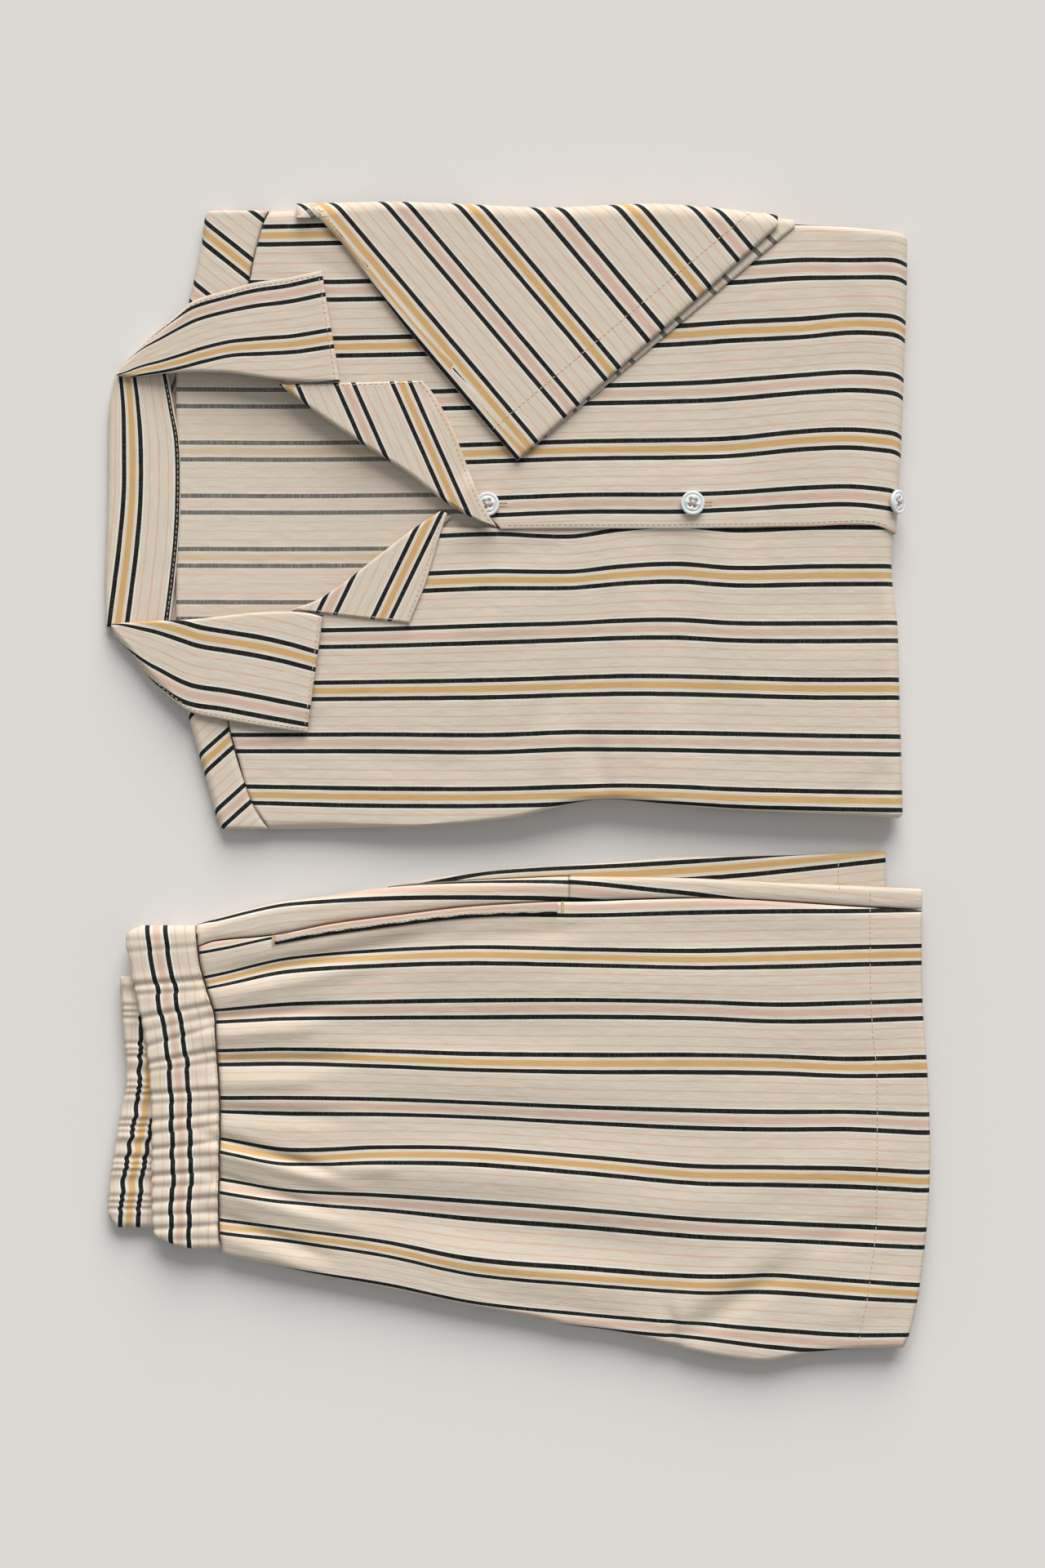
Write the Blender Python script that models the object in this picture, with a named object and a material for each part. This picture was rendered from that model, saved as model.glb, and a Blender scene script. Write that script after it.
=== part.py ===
"""Folded pyjama set: a short-sleeved camp-collar shirt above a pair of shorts.

Both garments lie face up on a flat surface at Z = 0. +X runs from collar and waistband to the
hems, +Y from the shorts to the shirt. Every panel is one wall of cloth: a grid whose rows and
columns follow the panel, laid along its folds, then given its thickness. Working unit: mm.
"""

import math
from collections import namedtuple

import bmesh
import bpy
from mathutils import Vector

METRES = 0.001                 # one millimetre
WALL = 1.2                     # cloth wall, its turned seams and small creases included
GAP = 0.3                      # clearance between neighbouring pieces
NEXT = WALL + GAP              # height from one layer to the next

# Shirt: heights above the table
SHIRT_LOW = 9.0                # top of the front near the shoulders
SHIRT_HIGH = 16.5              # top of the front over the folded-up lower half
SLOPE_START, SLOPE_LENGTH = -140.0, 190.0
SIDE_TURN = 6.5                # height of one folded side edge
LOWER_HALF_END = -70.0         # where the folded-under lower half stops
SIDE_FLAP = 25.0               # cloth folded in along each side edge
ROLL = 1.6                     # radius of the collar's roll line
FACING_ROLL = 2.4              # radius where a facing turns round the front's neck edge

# Buttons
BUTTON_DIAMETER = 12.7
BUTTON_THICKNESS = 2.2
BUTTON_HOLE = 1.6
BUTTON_HOLE_CIRCLE = 1.9       # radius of the circle that the four holes stand on

# Shorts: heights above the table
SHORTS_HIGH = 11.5             # top of the upper leg
LEG_TURN = 5.5                 # height of one leg's folded edge
BAND_HIGH = 13.0               # top of the gathered waistband
BAND_WALL = 2.0                # waistband cloth with its elastic


# ---- tables and curves ------------------------------------------------------------------------

def table(columns, *rows):
    """Rows with named columns."""
    row_type = namedtuple("Row", columns)
    return [row_type(*row) for row in rows]


def read(rows, key, value, at):
    """Value of a smooth curve through a table's rows, at one place of its key column."""
    keys = [getattr(row, key) for row in rows]
    values = [getattr(row, value) for row in rows]
    if at <= keys[0]:
        return values[0]
    if at >= keys[-1]:
        return values[-1]
    right = next(index for index, place in enumerate(keys) if place >= at)
    left = right - 1
    span = keys[right] - keys[left]
    part = (at - keys[left]) / span

    def slope(index):
        before, after = max(index - 1, 0), min(index + 1, len(keys) - 1)
        return (values[after] - values[before]) / (keys[after] - keys[before])

    square, cube = part * part, part ** 3
    return (values[left] * (2 * cube - 3 * square + 1) + slope(left) * span * (cube - 2 * square + part)
            + values[right] * (3 * square - 2 * cube) + slope(right) * span * (cube - square))


def smooth(value):
    """0 to 1 with level ends."""
    value = min(max(value, 0.0), 1.0)
    return value * value * (3 - 2 * value)


def blend(first, last, part):
    return first + (last - first) * part


def run(*zones):
    """Sample places along a strip: (zone name, fraction) for zones given as (name, steps)."""
    places = []
    for name, steps in zones:
        first = 0 if not places else 1
        places += [(name, step / steps) for step in range(first, steps + 1)]
    return places


def fold(distance, radius):
    """How far forward and how far down cloth is, a distance past the start of its turn."""
    if distance <= 0:
        return distance, 0.0
    angle = distance / radius
    if angle <= math.pi:
        return radius * math.sin(angle), radius * (1 - math.cos(angle))
    return math.pi * radius - distance, 2 * radius


# ---- objects ----------------------------------------------------------------------------------

def colour(hex_code):
    """Linear colour from an sRGB hex code."""
    parts = [int(hex_code[index:index + 2], 16) / 255 for index in (0, 2, 4)]
    linear = [part / 12.92 if part <= 0.04045 else ((part + 0.055) / 1.055) ** 2.4 for part in parts]
    return (*linear, 1.0)


def finish(piece, hex_code, roughness):
    """Give a piece its own plain material."""
    material = bpy.data.materials.new(piece.name)
    material.use_nodes = True
    shader = material.node_tree.nodes["Principled BSDF"]
    shader.inputs["Base Color"].default_value = colour(hex_code)
    shader.inputs["Roughness"].default_value = roughness
    shader.inputs["Metallic"].default_value = 0.0
    piece.data.materials.append(material)


def new_object(name, mesh_data):
    """Store a bmesh, built in mm, as a named object in metres."""
    bmesh.ops.scale(mesh_data, vec=Vector((METRES, METRES, METRES)), verts=mesh_data.verts)
    mesh = bpy.data.meshes.new(name)
    mesh_data.to_mesh(mesh)
    mesh_data.free()
    mesh.shade_smooth()
    mesh.set_sharp_from_angle(angle=math.radians(50))
    piece = bpy.data.objects.new(name, mesh)
    bpy.context.collection.objects.link(piece)
    return piece


def cloth(name, columns, rows, place, wall=WALL, leave_out=None):
    """One panel: place(column, row) gives the outer face, and the wall goes inwards from it."""
    sheet = bmesh.new()
    across, along = len(columns) - 1, len(rows) - 1
    bmesh.ops.create_grid(sheet, x_segments=across, y_segments=along, size=0.5)
    index_of = {}
    for vertex in sheet.verts:
        index_of[vertex] = (round((vertex.co.x + 0.5) * across), round((vertex.co.y + 0.5) * along))
    if leave_out:
        gone = [face for face in sheet.faces
                if all(leave_out(columns[index_of[v][0]], rows[index_of[v][1]]) for v in face.verts)]
        bmesh.ops.delete(sheet, geom=gone, context="FACES")
    for vertex in sheet.verts:
        column, row = index_of[vertex]
        vertex.co = place(columns[column], rows[row])
    sheet.normal_update()
    highest = max(sheet.faces, key=lambda face: face.calc_center_median().z)
    if highest.normal.z < 0:
        bmesh.ops.reverse_faces(sheet, faces=sheet.faces)
    piece = new_object(name, sheet)
    thickness = piece.modifiers.new("Cloth", "SOLIDIFY")
    thickness.thickness = wall * METRES
    thickness.offset = -1.0
    thickness.use_even_offset = True
    finish(piece, "D6C7B4", 0.8)
    return piece


def stacked(name, levels, ring_place, steps):
    """A closed solid through level rings, each made by ring_place(level, around)."""
    solid = bmesh.new()
    rings = []
    for level in levels:
        rings.append([solid.verts.new(ring_place(level, step / steps)) for step in range(steps)])
    for lower, upper in zip(rings, rings[1:]):
        for step in range(steps):
            after = (step + 1) % steps
            solid.faces.new((lower[step], lower[after], upper[after], upper[step]))
    solid.faces.new(list(reversed(rings[0])))
    solid.faces.new(rings[-1])
    bmesh.ops.recalc_face_normals(solid, faces=solid.faces)
    piece = new_object(name, solid)
    finish(piece, "CBBBA6", 0.85)
    return piece


# ---- shirt outline ----------------------------------------------------------------------------

OVER_SIDE = table("x y", (-131, 302.0), (-112, 302.2), (-96, 301.6), (-70, 300.8), (-15, 298.8),
                  (24, 296.8), (38, 296.0), (60, 297.6), (104, 297.2), (128, 294.8), (151, 293.0),
                  (176, 291.6), (206, 288.6))
UNDER_SIDE = table("x y", (-155, -25.4), (-131, -25.4), (-82, -24.4), (-40, -22.8), (1, -18.7),
                   (28, -11.6), (48, -9.2), (83, -12.4), (119, -15.1), (181, -17.9), (198, -19.3))
FOLD_END = table("y x", (-18, 203.7), (16, 202.8), (47, 201.9), (84, 200.9), (113, 199.5),
                 (131, 200.2), (151, 201.2), (171, 202.5), (214, 204.1), (262, 205.7), (289, 205.9))
OVER_LEFT = table("y x", (133, -9), (138, -14), (144, -25), (150, -36), (163, -53), (178, -76),
                  (198, -106), (212, -124), (224, -148), (245, -149), (262, -142), (275, -139.3),
                  (292, -135), (302, -130.8))
UNDER_LEFT = table("y x", (-25.4, -131), (-10, -140.7), (12, -147.4), (30, -152.3), (55, -154),
                   (80, -146), (91, -116), (95, -104), (101, -94), (113, -77), (129, -57),
                   (137, -44), (150, -25), (165, -14))
PLACKET = table("x y", (-20, 132.8), (28, 133.0), (83, 133.0), (150, 134.0), (186, 134.8),
                (200, 130.6))
UNDER_HIDDEN = table("x y", (-20, 134.5), (4, 135.0), (50, 158.0), (200, 160.0))


def front_height(x):
    """Top of the under front; the over front lies one layer higher."""
    return blend(SHIRT_LOW, SHIRT_HIGH, smooth((x - SLOPE_START) / SLOPE_LENGTH))


def over_height(x):
    return front_height(x) + NEXT


def flap_height(x, upper):
    """Underside of the folded-in side edge: on the lower half, then down to the table."""
    return (upper - SIDE_TURN) * smooth((x + 112) / 67)


Front = namedtuple("Front", "height far_side sign near left top bottom inset")


def front_place(front):
    """Lay one front along the top, round the end fold and back beneath, its side edge turned in."""

    def place(column, row):
        zone_u, part_u = column
        zone_v, part_v = row
        x, y = 0.0, front.near(0.0, zone_u)
        for _ in range(4):
            far = read(front.far_side, "x", "y", x)
            upper = front.height(x)
            depth = SIDE_TURN
            if zone_u == "limb":
                depth = upper - flap_height(x, front.top)
            radius = depth / 2
            near = front.near(x, zone_u)
            far_start = far - front.sign * radius
            if zone_v == "limb":
                y, drop = blend(near, far_start, part_v), 0.0
            elif zone_v == "turn":
                ahead, drop = fold(part_v * math.pi * radius, radius)
                y = far_start + front.sign * ahead
            else:
                y, drop = far_start - front.sign * part_v * SIDE_FLAP, depth
            bottom = front.bottom(y)
            bend = (front.top - bottom) / 2
            fold_x = read(FOLD_END, "y", "x", y) - front.inset(y)
            if zone_u == "limb":
                x = blend(read(front.left, "y", "x", y), fold_x - bend, part_u)
            elif zone_u == "turn":
                x = fold_x - bend + bend * math.sin(part_u * math.pi)
            else:
                x = blend(fold_x - bend, LOWER_HALF_END, part_u)
        if zone_u == "limb":
            return Vector((x, y, front.height(x) - drop))
        if zone_u == "turn":
            angle = part_u * math.pi
            reach = bend - drop
            centre = bottom + bend
            return Vector((fold_x - bend + reach * math.sin(angle), y, centre + reach * math.cos(angle)))
        return Vector((x, y, bottom + drop))

    return place


def over_near(x, zone):
    return read(PLACKET, "x", "y", x)


def under_near(x, zone):
    return read(UNDER_HIDDEN, "x", "y", x)


def under_overlap(y):
    """0 where the under front shows, 1 where it runs inside the over front's placket."""
    return smooth((y - 80) / 30)


FRONT_COLUMNS = run(("limb", 12), ("turn", 6), ("under", 3))
FRONT_ROWS = run(("limb", 8), ("turn", 5), ("flap", 1))


def build_fronts():
    over = Front(over_height, OVER_SIDE, 1, over_near, OVER_LEFT, SHIRT_HIGH + NEXT,
                 lambda y: 0.0, lambda y: 0.0)
    under = Front(front_height, UNDER_SIDE, -1, under_near, UNDER_LEFT, SHIRT_HIGH,
                  lambda y: NEXT * under_overlap(y), lambda y: (NEXT + GAP) * under_overlap(y))
    cloth("shirt_front_over", FRONT_COLUMNS, FRONT_ROWS, front_place(over))
    cloth("shirt_front_under", FRONT_COLUMNS, FRONT_ROWS, front_place(under))


# ---- back, inside the neck --------------------------------------------------------------------

BACK = table("x low high top", (-181, 80, 221, 3.2), (-168, 76, 224, 3.0), (-155, 66, 234, 2.6),
             (-140, 50, 248, 1.5), (-120, 14, 262, 1.3), (-100, 14, 262, 2.2), (-84, 14, 262, 3.8),
             (-70, 14, 262, 5.4), (-50, 14, 262, 7.8), (-30, 14, 262, 10.2), (-12, 14, 262, 12.0))


def build_back():
    def place(column, row):
        x = blend(BACK[0].x, BACK[-1].x, column[1])
        y = blend(read(BACK, "x", "low", x), read(BACK, "x", "high", x), row[1])
        return Vector((x, y, read(BACK, "x", "top", x)))

    cloth("shirt_back", run(("limb", 16)), run(("limb", 4)), place)


# ---- facings: the two lapels ------------------------------------------------------------------

LAPEL_OVER = table("t roll_x roll_y edge_x edge_y flap", (0.0, -126, 209.6, -50, 211.0, 14),
                   (0.2, -107, 195.4, -43, 202.0, 14), (0.4, -81.5, 177.9, -34, 185.0, 14),
                   (0.6, -58.5, 163.1, -26.5, 166.0, 12), (0.8, -40, 148.6, -20.2, 150.0, 8),
                   (0.9, -29, 141.6, -15.5, 140.5, 5), (1.0, -20, 137.2, -11.0, 133.6, 3))
LAPEL_UNDER = table("t roll_x roll_y edge_x edge_y flap", (0.0, -119.5, 90.8, -57, 83.4, 14),
                    (0.2, -106, 96.0, -53.5, 92.0, 14), (0.4, -92, 105.0, -49, 103.0, 14),
                    (0.6, -74, 119.0, -44.8, 116.5, 12), (0.8, -57, 132.0, -41, 129.5, 9),
                    (1.0, -41, 142.6, -37.0, 141.2, 5))
BUTTON_LIFT = 2.9              # the over lapel rides over the top button
FACING_ROWS = run(("edge", 4), ("turn", 5), ("flap", 2))


def build_facing(name, rows, base_height, lift_at=None):
    """A lapel lying on its front, turned round the neck edge and in beneath it."""

    def place(column, row):
        t = column[1]
        zone, part = row
        roll = Vector((read(rows, "t", "roll_x", t), read(rows, "t", "roll_y", t), 0))
        edge = Vector((read(rows, "t", "edge_x", t), read(rows, "t", "edge_y", t), 0))
        out = (edge - roll).normalized()
        start = roll + out * FACING_ROLL
        if zone == "edge":
            at, drop = edge.lerp(start, part), 0.0
        elif zone == "turn":
            ahead, drop = fold(part * math.pi * FACING_ROLL, FACING_ROLL)
            at = start - out * ahead
        else:
            at, drop = start + out * read(rows, "t", "flap", t) * part, 2 * FACING_ROLL
        at.z = base_height(at.x) + NEXT + GAP / 2 - drop
        if lift_at and zone == "edge":
            away = math.hypot(at.x - lift_at[0], at.y - lift_at[1])
            at.z += BUTTON_LIFT * smooth(2.0 - away / 11.0)
        return at

    cloth(name, run(("limb", 8)), FACING_ROWS, place)


# ---- collar -----------------------------------------------------------------------------------

COLLAR_BACK = table("y seam fold", (85.5, -183.4, -218.7), (107, -182.8, -218.9),
                    (128, -182.2, -218.1), (153, -181.9, -217.4), (180, -183, -217.2),
                    (199, -184.2, -216.5), (212.4, -184.9, -213.6))
COLLAR_HEIGHT = 6.2            # top of the collar's back fold
COLLAR_SEAM_HEIGHT = 3.6
FALL_END = -176.0              # hidden edge of the collar's fall, beneath the back


def build_collar_back():
    """The stand shows inside the neck, turns at its outer fold and lies back beneath."""
    radius = COLLAR_HEIGHT / 2

    def place(column, row):
        y = blend(COLLAR_BACK[0].y, COLLAR_BACK[-1].y, column[1])
        zone, part = row
        start = read(COLLAR_BACK, "y", "fold", y) + radius
        if zone == "stand":
            height = blend(COLLAR_SEAM_HEIGHT, COLLAR_HEIGHT, smooth(part))
            return Vector((blend(read(COLLAR_BACK, "y", "seam", y), start, part), y, height))
        if zone == "turn":
            ahead, drop = fold(part * math.pi * radius, radius)
            return Vector((start - ahead, y, COLLAR_HEIGHT - drop))
        return Vector((blend(start, FALL_END, part), y, 0.0))

    cloth("shirt_collar_back", run(("limb", 6)), run(("stand", 4), ("turn", 6), ("fall", 2)), place)


WING_OVER = table("t roll_x roll_y edge_x edge_y under", (0.00, -212.0, 214.4, -208.0, 221.5, 27),
                  (0.08, -203.4, 213.8, -198.5, 231.0, 21), (0.20, -190, 215.2, -188, 240.3, 13),
                  (0.32, -176, 216.0, -177.5, 249.0, 6), (0.42, -165, 216.0, -170.0, 254.0, 2),
                  (0.55, -150, 215.2, -155.0, 258.4, 1.5), (0.70, -133, 212.8, -139.0, 262.8, 1.5),
                  (0.85, -115, 210.8, -121.5, 265.4, 1.5), (1.00, -93.6, 210.8, -103.2, 269.2, 1.5))
WING_UNDER = table("t roll_x roll_y edge_x edge_y under", (0.00, -215.0, 83.4, -213.5, 77.5, 27),
                   (0.08, -205.0, 84.2, -204.3, 67.0, 21), (0.20, -190, 85.0, -192.0, 51.6, 12),
                   (0.32, -177, 85.4, -181.5, 42.6, 5), (0.42, -166, 86.2, -172.5, 36.6, 2),
                   (0.55, -150, 88.0, -157.0, 33.0, 1.5), (0.70, -134, 89.4, -141.0, 30.2, 1.5),
                   (0.85, -118, 89.6, -126.0, 27.8, 1.5), (1.00, -102.6, 87.8, -111.0, 26.0, 1.5))
WING_TIP_HEIGHT = 9.6          # top of the wing where it joins the collar's back fold
WING_FLAP = 16.0               # stand beneath the wing, along the roll line


def build_wing(name, rows, base_height):
    """The collar's fall on the front: rolled at the neck, turned under past the shoulder."""
    neck_end = rows[0].roll_x

    def wing_height(x):
        shoulder = base_height(max(x, -150)) + 2 * GAP + 2 * ROLL
        return blend(shoulder, WING_TIP_HEIGHT, smooth((-150 - x) / (-150 - neck_end)))

    def place(column, row):
        t = column[1]
        zone, part = row
        roll = Vector((read(rows, "t", "roll_x", t), read(rows, "t", "roll_y", t), 0))
        edge = Vector((read(rows, "t", "edge_x", t), read(rows, "t", "edge_y", t), 0))
        under = read(rows, "t", "under", t)
        out = (edge - roll).normalized()
        width = (edge - roll).length
        turn_radius = wing_height(edge.x) / 2 if under > 3 else ROLL
        flat_end = width - turn_radius * math.sin(min(under / turn_radius, math.pi / 2))
        under = min(under, math.pi * turn_radius + max(flat_end - 1.5, 0.0))
        flap_room = max(min(WING_FLAP, flat_end - turn_radius - ROLL - 3), 1.0)
        if zone == "flap":
            at, drop = roll + out * (ROLL + flap_room * (1 - part)), 2 * ROLL
        elif zone == "roll":
            ahead, drop = fold((1 - part) * math.pi * ROLL, ROLL)
            at = roll + out * (ROLL - ahead)
        elif zone == "limb":
            at, drop = roll + out * blend(ROLL, flat_end, part), 0.0
        else:
            ahead, drop = fold(part * under, turn_radius)
            at = roll + out * (flat_end + ahead)
        at.z = max(wing_height(at.x) - drop, 0.0)
        return at

    sections = run(("flap", 1), ("roll", 4), ("limb", 3), ("turn", 5))
    cloth(name, run(("limb", 9)), sections, place)


# ---- sleeves ----------------------------------------------------------------------------------

SLEEVE = table("t edge_x edge_y top_x top_y turned tuck hem",
               (0.0, -103.5, 297.5, -96.5, 306.0, 80, 1, 0), (0.12, -92, 283.0, -68.5, 306.0, 95, 1, 0),
               (0.3, -74.5, 259.5, -24, 304.4, 120, 1, 0), (0.5, -54, 232.6, 23, 302.2, 180, 16, 0),
               (0.75, -26, 200.5, 83, 304.6, 180, 20, 0), (1.0, 2.2, 171.6, 139.5, 299.2, 180, 20, 9))


def side_radius(x):
    """Radius of the over front's folded side edge."""
    return (over_height(x) - flap_height(x, SHIRT_HIGH + NEXT)) / 2


def build_sleeve():
    """Two flat layers, open at the hem, that lie on the front and wrap its side edge."""

    def place(column, row):
        t = column[1]
        zone, part = row
        edge = Vector((read(SLEEVE, "t", "edge_x", t), read(SLEEVE, "t", "edge_y", t), 0))
        top = Vector((read(SLEEVE, "t", "top_x", t), read(SLEEVE, "t", "top_y", t), 0))
        turned, tuck = math.radians(read(SLEEVE, "t", "turned", t)), read(SLEEVE, "t", "tuck", t)
        out = (top - edge).normalized()
        inner_radius = side_radius(top.x) + 2 * GAP
        outer_radius = inner_radius + 2 * ROLL
        start = top - out * (outer_radius / max(out.y, 0.3))
        level = "inner" if zone.startswith("inner") else "outer"
        if level == "outer":
            part = 1 - part
        if zone == "roll":
            ahead, drop = fold((1 - part) * math.pi * ROLL, ROLL)
            at = edge + out * (ROLL - ahead)
        else:
            at, drop = (edge + out * ROLL).lerp(start, part), 2 * ROLL * (level == "inner")
        if zone.endswith("wrap") or zone.endswith("tuck"):
            radius = outer_radius if level == "outer" else inner_radius
            wrapped = part if zone.endswith("wrap") else 1.0
            further_in = tuck * part if zone.endswith("tuck") else 0.0
            ahead, further = fold(wrapped * turned * radius + further_in, radius)
            at, drop = start + Vector((0, ahead, 0)), drop + further
        if level == "inner":
            at.x += read(SLEEVE, "t", "hem", t) * (part if zone == "inner" else 1.0)
        at.z = over_height(at.x) + 2 * GAP + 2 * ROLL - drop
        return at

    sections = run(("outer_tuck", 1), ("outer_wrap", 6), ("outer", 4), ("roll", 4), ("inner", 4),
                   ("inner_wrap", 6), ("inner_tuck", 1))
    cloth("shirt_sleeve_over", run(("limb", 8)), sections, place)


HEAD_OVER = table("y seam fold", (248, -147.0, -175.6), (262, -142.3, -172.2), (275, -139.7, -169.4),
                  (285, -137.0, -167.3), (296, -133.9, -166.1), (301.8, -131.3, -165.0))
HEAD_UNDER = table("y seam fold", (-25.2, -131.5, -157.4), (-16, -137.1, -160.5),
                   (5, -146.0, -166.3), (27, -152.2, -172.6), (38, -154.2, -175.2))
HEAD_FLAP = 14.0


def build_head(name, rows, sign, upper):
    """The top of a sleeve beside its armhole seam, turned under along its left and side edges."""
    hidden_end, side_end = (rows[0].y, rows[-1].y) if sign > 0 else (rows[-1].y, rows[0].y)
    bend, side_radius = upper / 2, 2.0

    def place(column, row):
        zone_u, part_u = column
        zone_v, part_v = row
        start_y = side_end - sign * side_radius
        if zone_v == "limb":
            y, drop = blend(hidden_end, start_y, part_v), 0.0
        elif zone_v == "turn":
            ahead, drop = fold(part_v * math.pi * side_radius, side_radius)
            y = start_y + sign * ahead
        else:
            y, drop = start_y - sign * part_v * HEAD_FLAP, 2 * side_radius
        seam, outer = read(rows, "y", "seam", y) - 3 * GAP, read(rows, "y", "fold", y)
        centre = outer + bend
        if zone_u == "limb":
            return Vector((blend(seam, centre, part_u), y, upper - drop))
        if zone_u == "turn":
            angle = part_u * math.pi
            reach = bend - drop
            return Vector((centre - reach * math.sin(angle), y, bend + reach * math.cos(angle)))
        return Vector((centre + part_u * HEAD_FLAP, y, drop))

    columns = run(("limb", 2), ("turn", 5), ("under", 1))
    cloth(name, columns, run(("limb", 3), ("turn", 4), ("flap", 1)), place)


# ---- folded layers inside the shirt -----------------------------------------------------------

SHIRT_CORE = table("z left inset_over inset_under", (3.0, -58, 7, 7), (3.6, -58, 5, 5),
                   (4.8, -56, 6, 6), (4.8, -56, 34, 34), (7.1, -42, 34, 34), (7.1, -42, 34, 6),
                   (9.2, -22, 34, 6), (9.2, -22, 34, 34), (13.3, 16, 34, 34), (13.3, 16, 6, 6),
                   (14.2, 30, 5, 5), (14.8, 40, 7, 7))
CORE_END = 188.0
CORNER_POWER = 6.0             # how square the rounded corners are


def round_place(left, right, low, high, around):
    """A point on a rounded rectangle whose long sides may curve."""
    angle = around * 2 * math.pi
    wide, tall = math.cos(angle), math.sin(angle)
    size = (abs(wide) ** CORNER_POWER + abs(tall) ** CORNER_POWER) ** (1 / CORNER_POWER)
    x = blend(left, right, 0.5 + 0.5 * wide / size)
    return x, blend(low(x), high(x), 0.5 + 0.5 * tall / size)


def build_shirt_core():
    def ring(level, around):
        x, y = round_place(level.left, CORE_END, lambda x: read(UNDER_SIDE, "x", "y", x) + level.inset_under,
                           lambda x: read(OVER_SIDE, "x", "y", x) - level.inset_over, around)
        return Vector((x, y, level.z))

    stacked("shirt_hidden_folds", SHIRT_CORE, ring, 28)


# ---- buttons ----------------------------------------------------------------------------------

Button = namedtuple("Button", "name x y z tilt")
BUTTON_ROW = table("name x y", ("button_top", -15.9, 145.8), ("button_middle", 92.0, 146.2))


def build_button(button):
    """A four-hole button: a turned disc with a raised rim, and four holes cut through it."""
    radius, half = BUTTON_DIAMETER / 2, BUTTON_THICKNESS / 2
    profile = table("r z", (0.0, -half), (radius - 0.9, -half), (radius, -half + 0.8),
                    (radius, half - 0.5), (radius - 0.7, half), (radius - 1.6, half - 0.3),
                    (radius - 2.4, half - 0.7), (0.0, half - 0.7))
    disc = bmesh.new()
    corners = [disc.verts.new((point.r, 0.0, point.z)) for point in profile]
    outline = [disc.edges.new(pair) for pair in zip(corners, corners[1:])]
    bmesh.ops.spin(disc, geom=corners + outline, cent=(0, 0, 0), axis=(0, 0, 1), angle=2 * math.pi,
                   steps=20, use_merge=True)
    bmesh.ops.remove_doubles(disc, verts=disc.verts, dist=0.01)
    bmesh.ops.recalc_face_normals(disc, faces=disc.faces)
    piece = new_object(button.name, disc)
    drill = bmesh.new()
    for corner in range(4):
        angle = math.pi / 4 + corner * math.pi / 2
        made = bmesh.ops.create_cone(drill, cap_ends=True, segments=8, radius1=BUTTON_HOLE / 2,
                                     radius2=BUTTON_HOLE / 2, depth=4 * BUTTON_THICKNESS)
        shift = Vector((math.cos(angle), math.sin(angle), 0)) * BUTTON_HOLE_CIRCLE
        bmesh.ops.translate(drill, vec=shift, verts=made["verts"])
    cutter = new_object(button.name + "_drill", drill)
    cutter.hide_render = True
    cutter.display_type = "WIRE"
    cutter.parent = piece
    holes = piece.modifiers.new("Holes", "BOOLEAN")
    holes.operation = "DIFFERENCE"
    holes.solver = "EXACT"
    holes.object = cutter
    piece.location = Vector((button.x, button.y, button.z)) * METRES
    piece.rotation_euler = (0.0, button.tilt, 0.0)
    finish(piece, "E9E6E0", 0.25)


def build_buttons():
    lift = 2 * GAP + BUTTON_THICKNESS / 2
    bend = (SHIRT_HIGH + NEXT) / 2
    angle = math.radians(50)
    centre_x = read(FOLD_END, "y", "x", 147.0) - bend
    reach = bend + lift
    end_button = Button("button_end", centre_x + reach * math.sin(angle), 147.1,
                        bend + reach * math.cos(angle), angle)
    flat_buttons = [Button(spot.name, spot.x, spot.y, over_height(spot.x) + lift, 0.0)
                    for spot in BUTTON_ROW]
    for button in flat_buttons + [end_button]:
        build_button(button)


# ---- shorts outline ---------------------------------------------------------------------------

SHORTS = table("x top seam low", (-160, -72.5, -84.5, -248.8), (-128, -64.2, -81.2, -255.5),
               (-98, -60.1, -75.2, -262.0), (-63, -55.4, -70.6, -268.8), (-28, -52.6, -66.4, -276.2),
               (10, -50.8, -64.0, -283.2), (27, -50.2, -63.4, -287.0), (54, -50.4, -62.8, -290.8),
               (94, -51.2, -61.8, -301.0), (120, -52.4, -62.4, -305.4), (134, -53.3, -63.2, -305.8),
               (155, -54.2, -64.6, -301.6), (180, -55.2, -66.3, -299.6), (214, -56.8, -68.2, -298.8))
REAR_LEG = table("x top", (-5, -46.3), (25, -44.3), (54, -42.6), (81, -40.2), (134, -39.3),
                 (170, -38.3), (195, -37.0))
LEG_HEM = table("y x", (-299, 203.4), (-292, 206.7), (-276, 210.7), (-266, 212.4), (-237, 215.9),
                (-207, 217.7), (-176, 217.5), (-146, 215.9), (-124, 214.2), (-95, 213.4), (-57, 213.7))
BAND_SEAM = table("y x", (-249, -156.6), (-234, -158.0), (-203, -157.7), (-167, -157.5),
                  (-141, -159.2), (-122, -160.5), (-108, -164.9), (-95, -168.2), (-72, -170.4))
BAND_EDGE = table("y x", (-248, -170.0), (-241, -189.0), (-236, -192.2), (-202, -193.1),
                  (-180, -193.1), (-160, -193.9), (-141, -195.7), (-125, -198.7), (-111, -201.7),
                  (-97, -204.3), (-80, -206.1), (-75, -197.0))
FLY = table("x low", (-128, -86.0), (-102, -81.4), (-73, -77.4), (-43, -73.6), (-19, -71.6),
            (15, -70.6))
SEAM_GAP = 0.8                 # between the panels that meet along the curved centre seam
CROTCH = 27.0                  # where the centre-front seam meets the inseam
REAR_HEM = 195.0
LEG_FLAP = 25.0
SHORTS_SIDE_RADIUS = 5.6       # the right front's turn round the folded centre front


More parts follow.
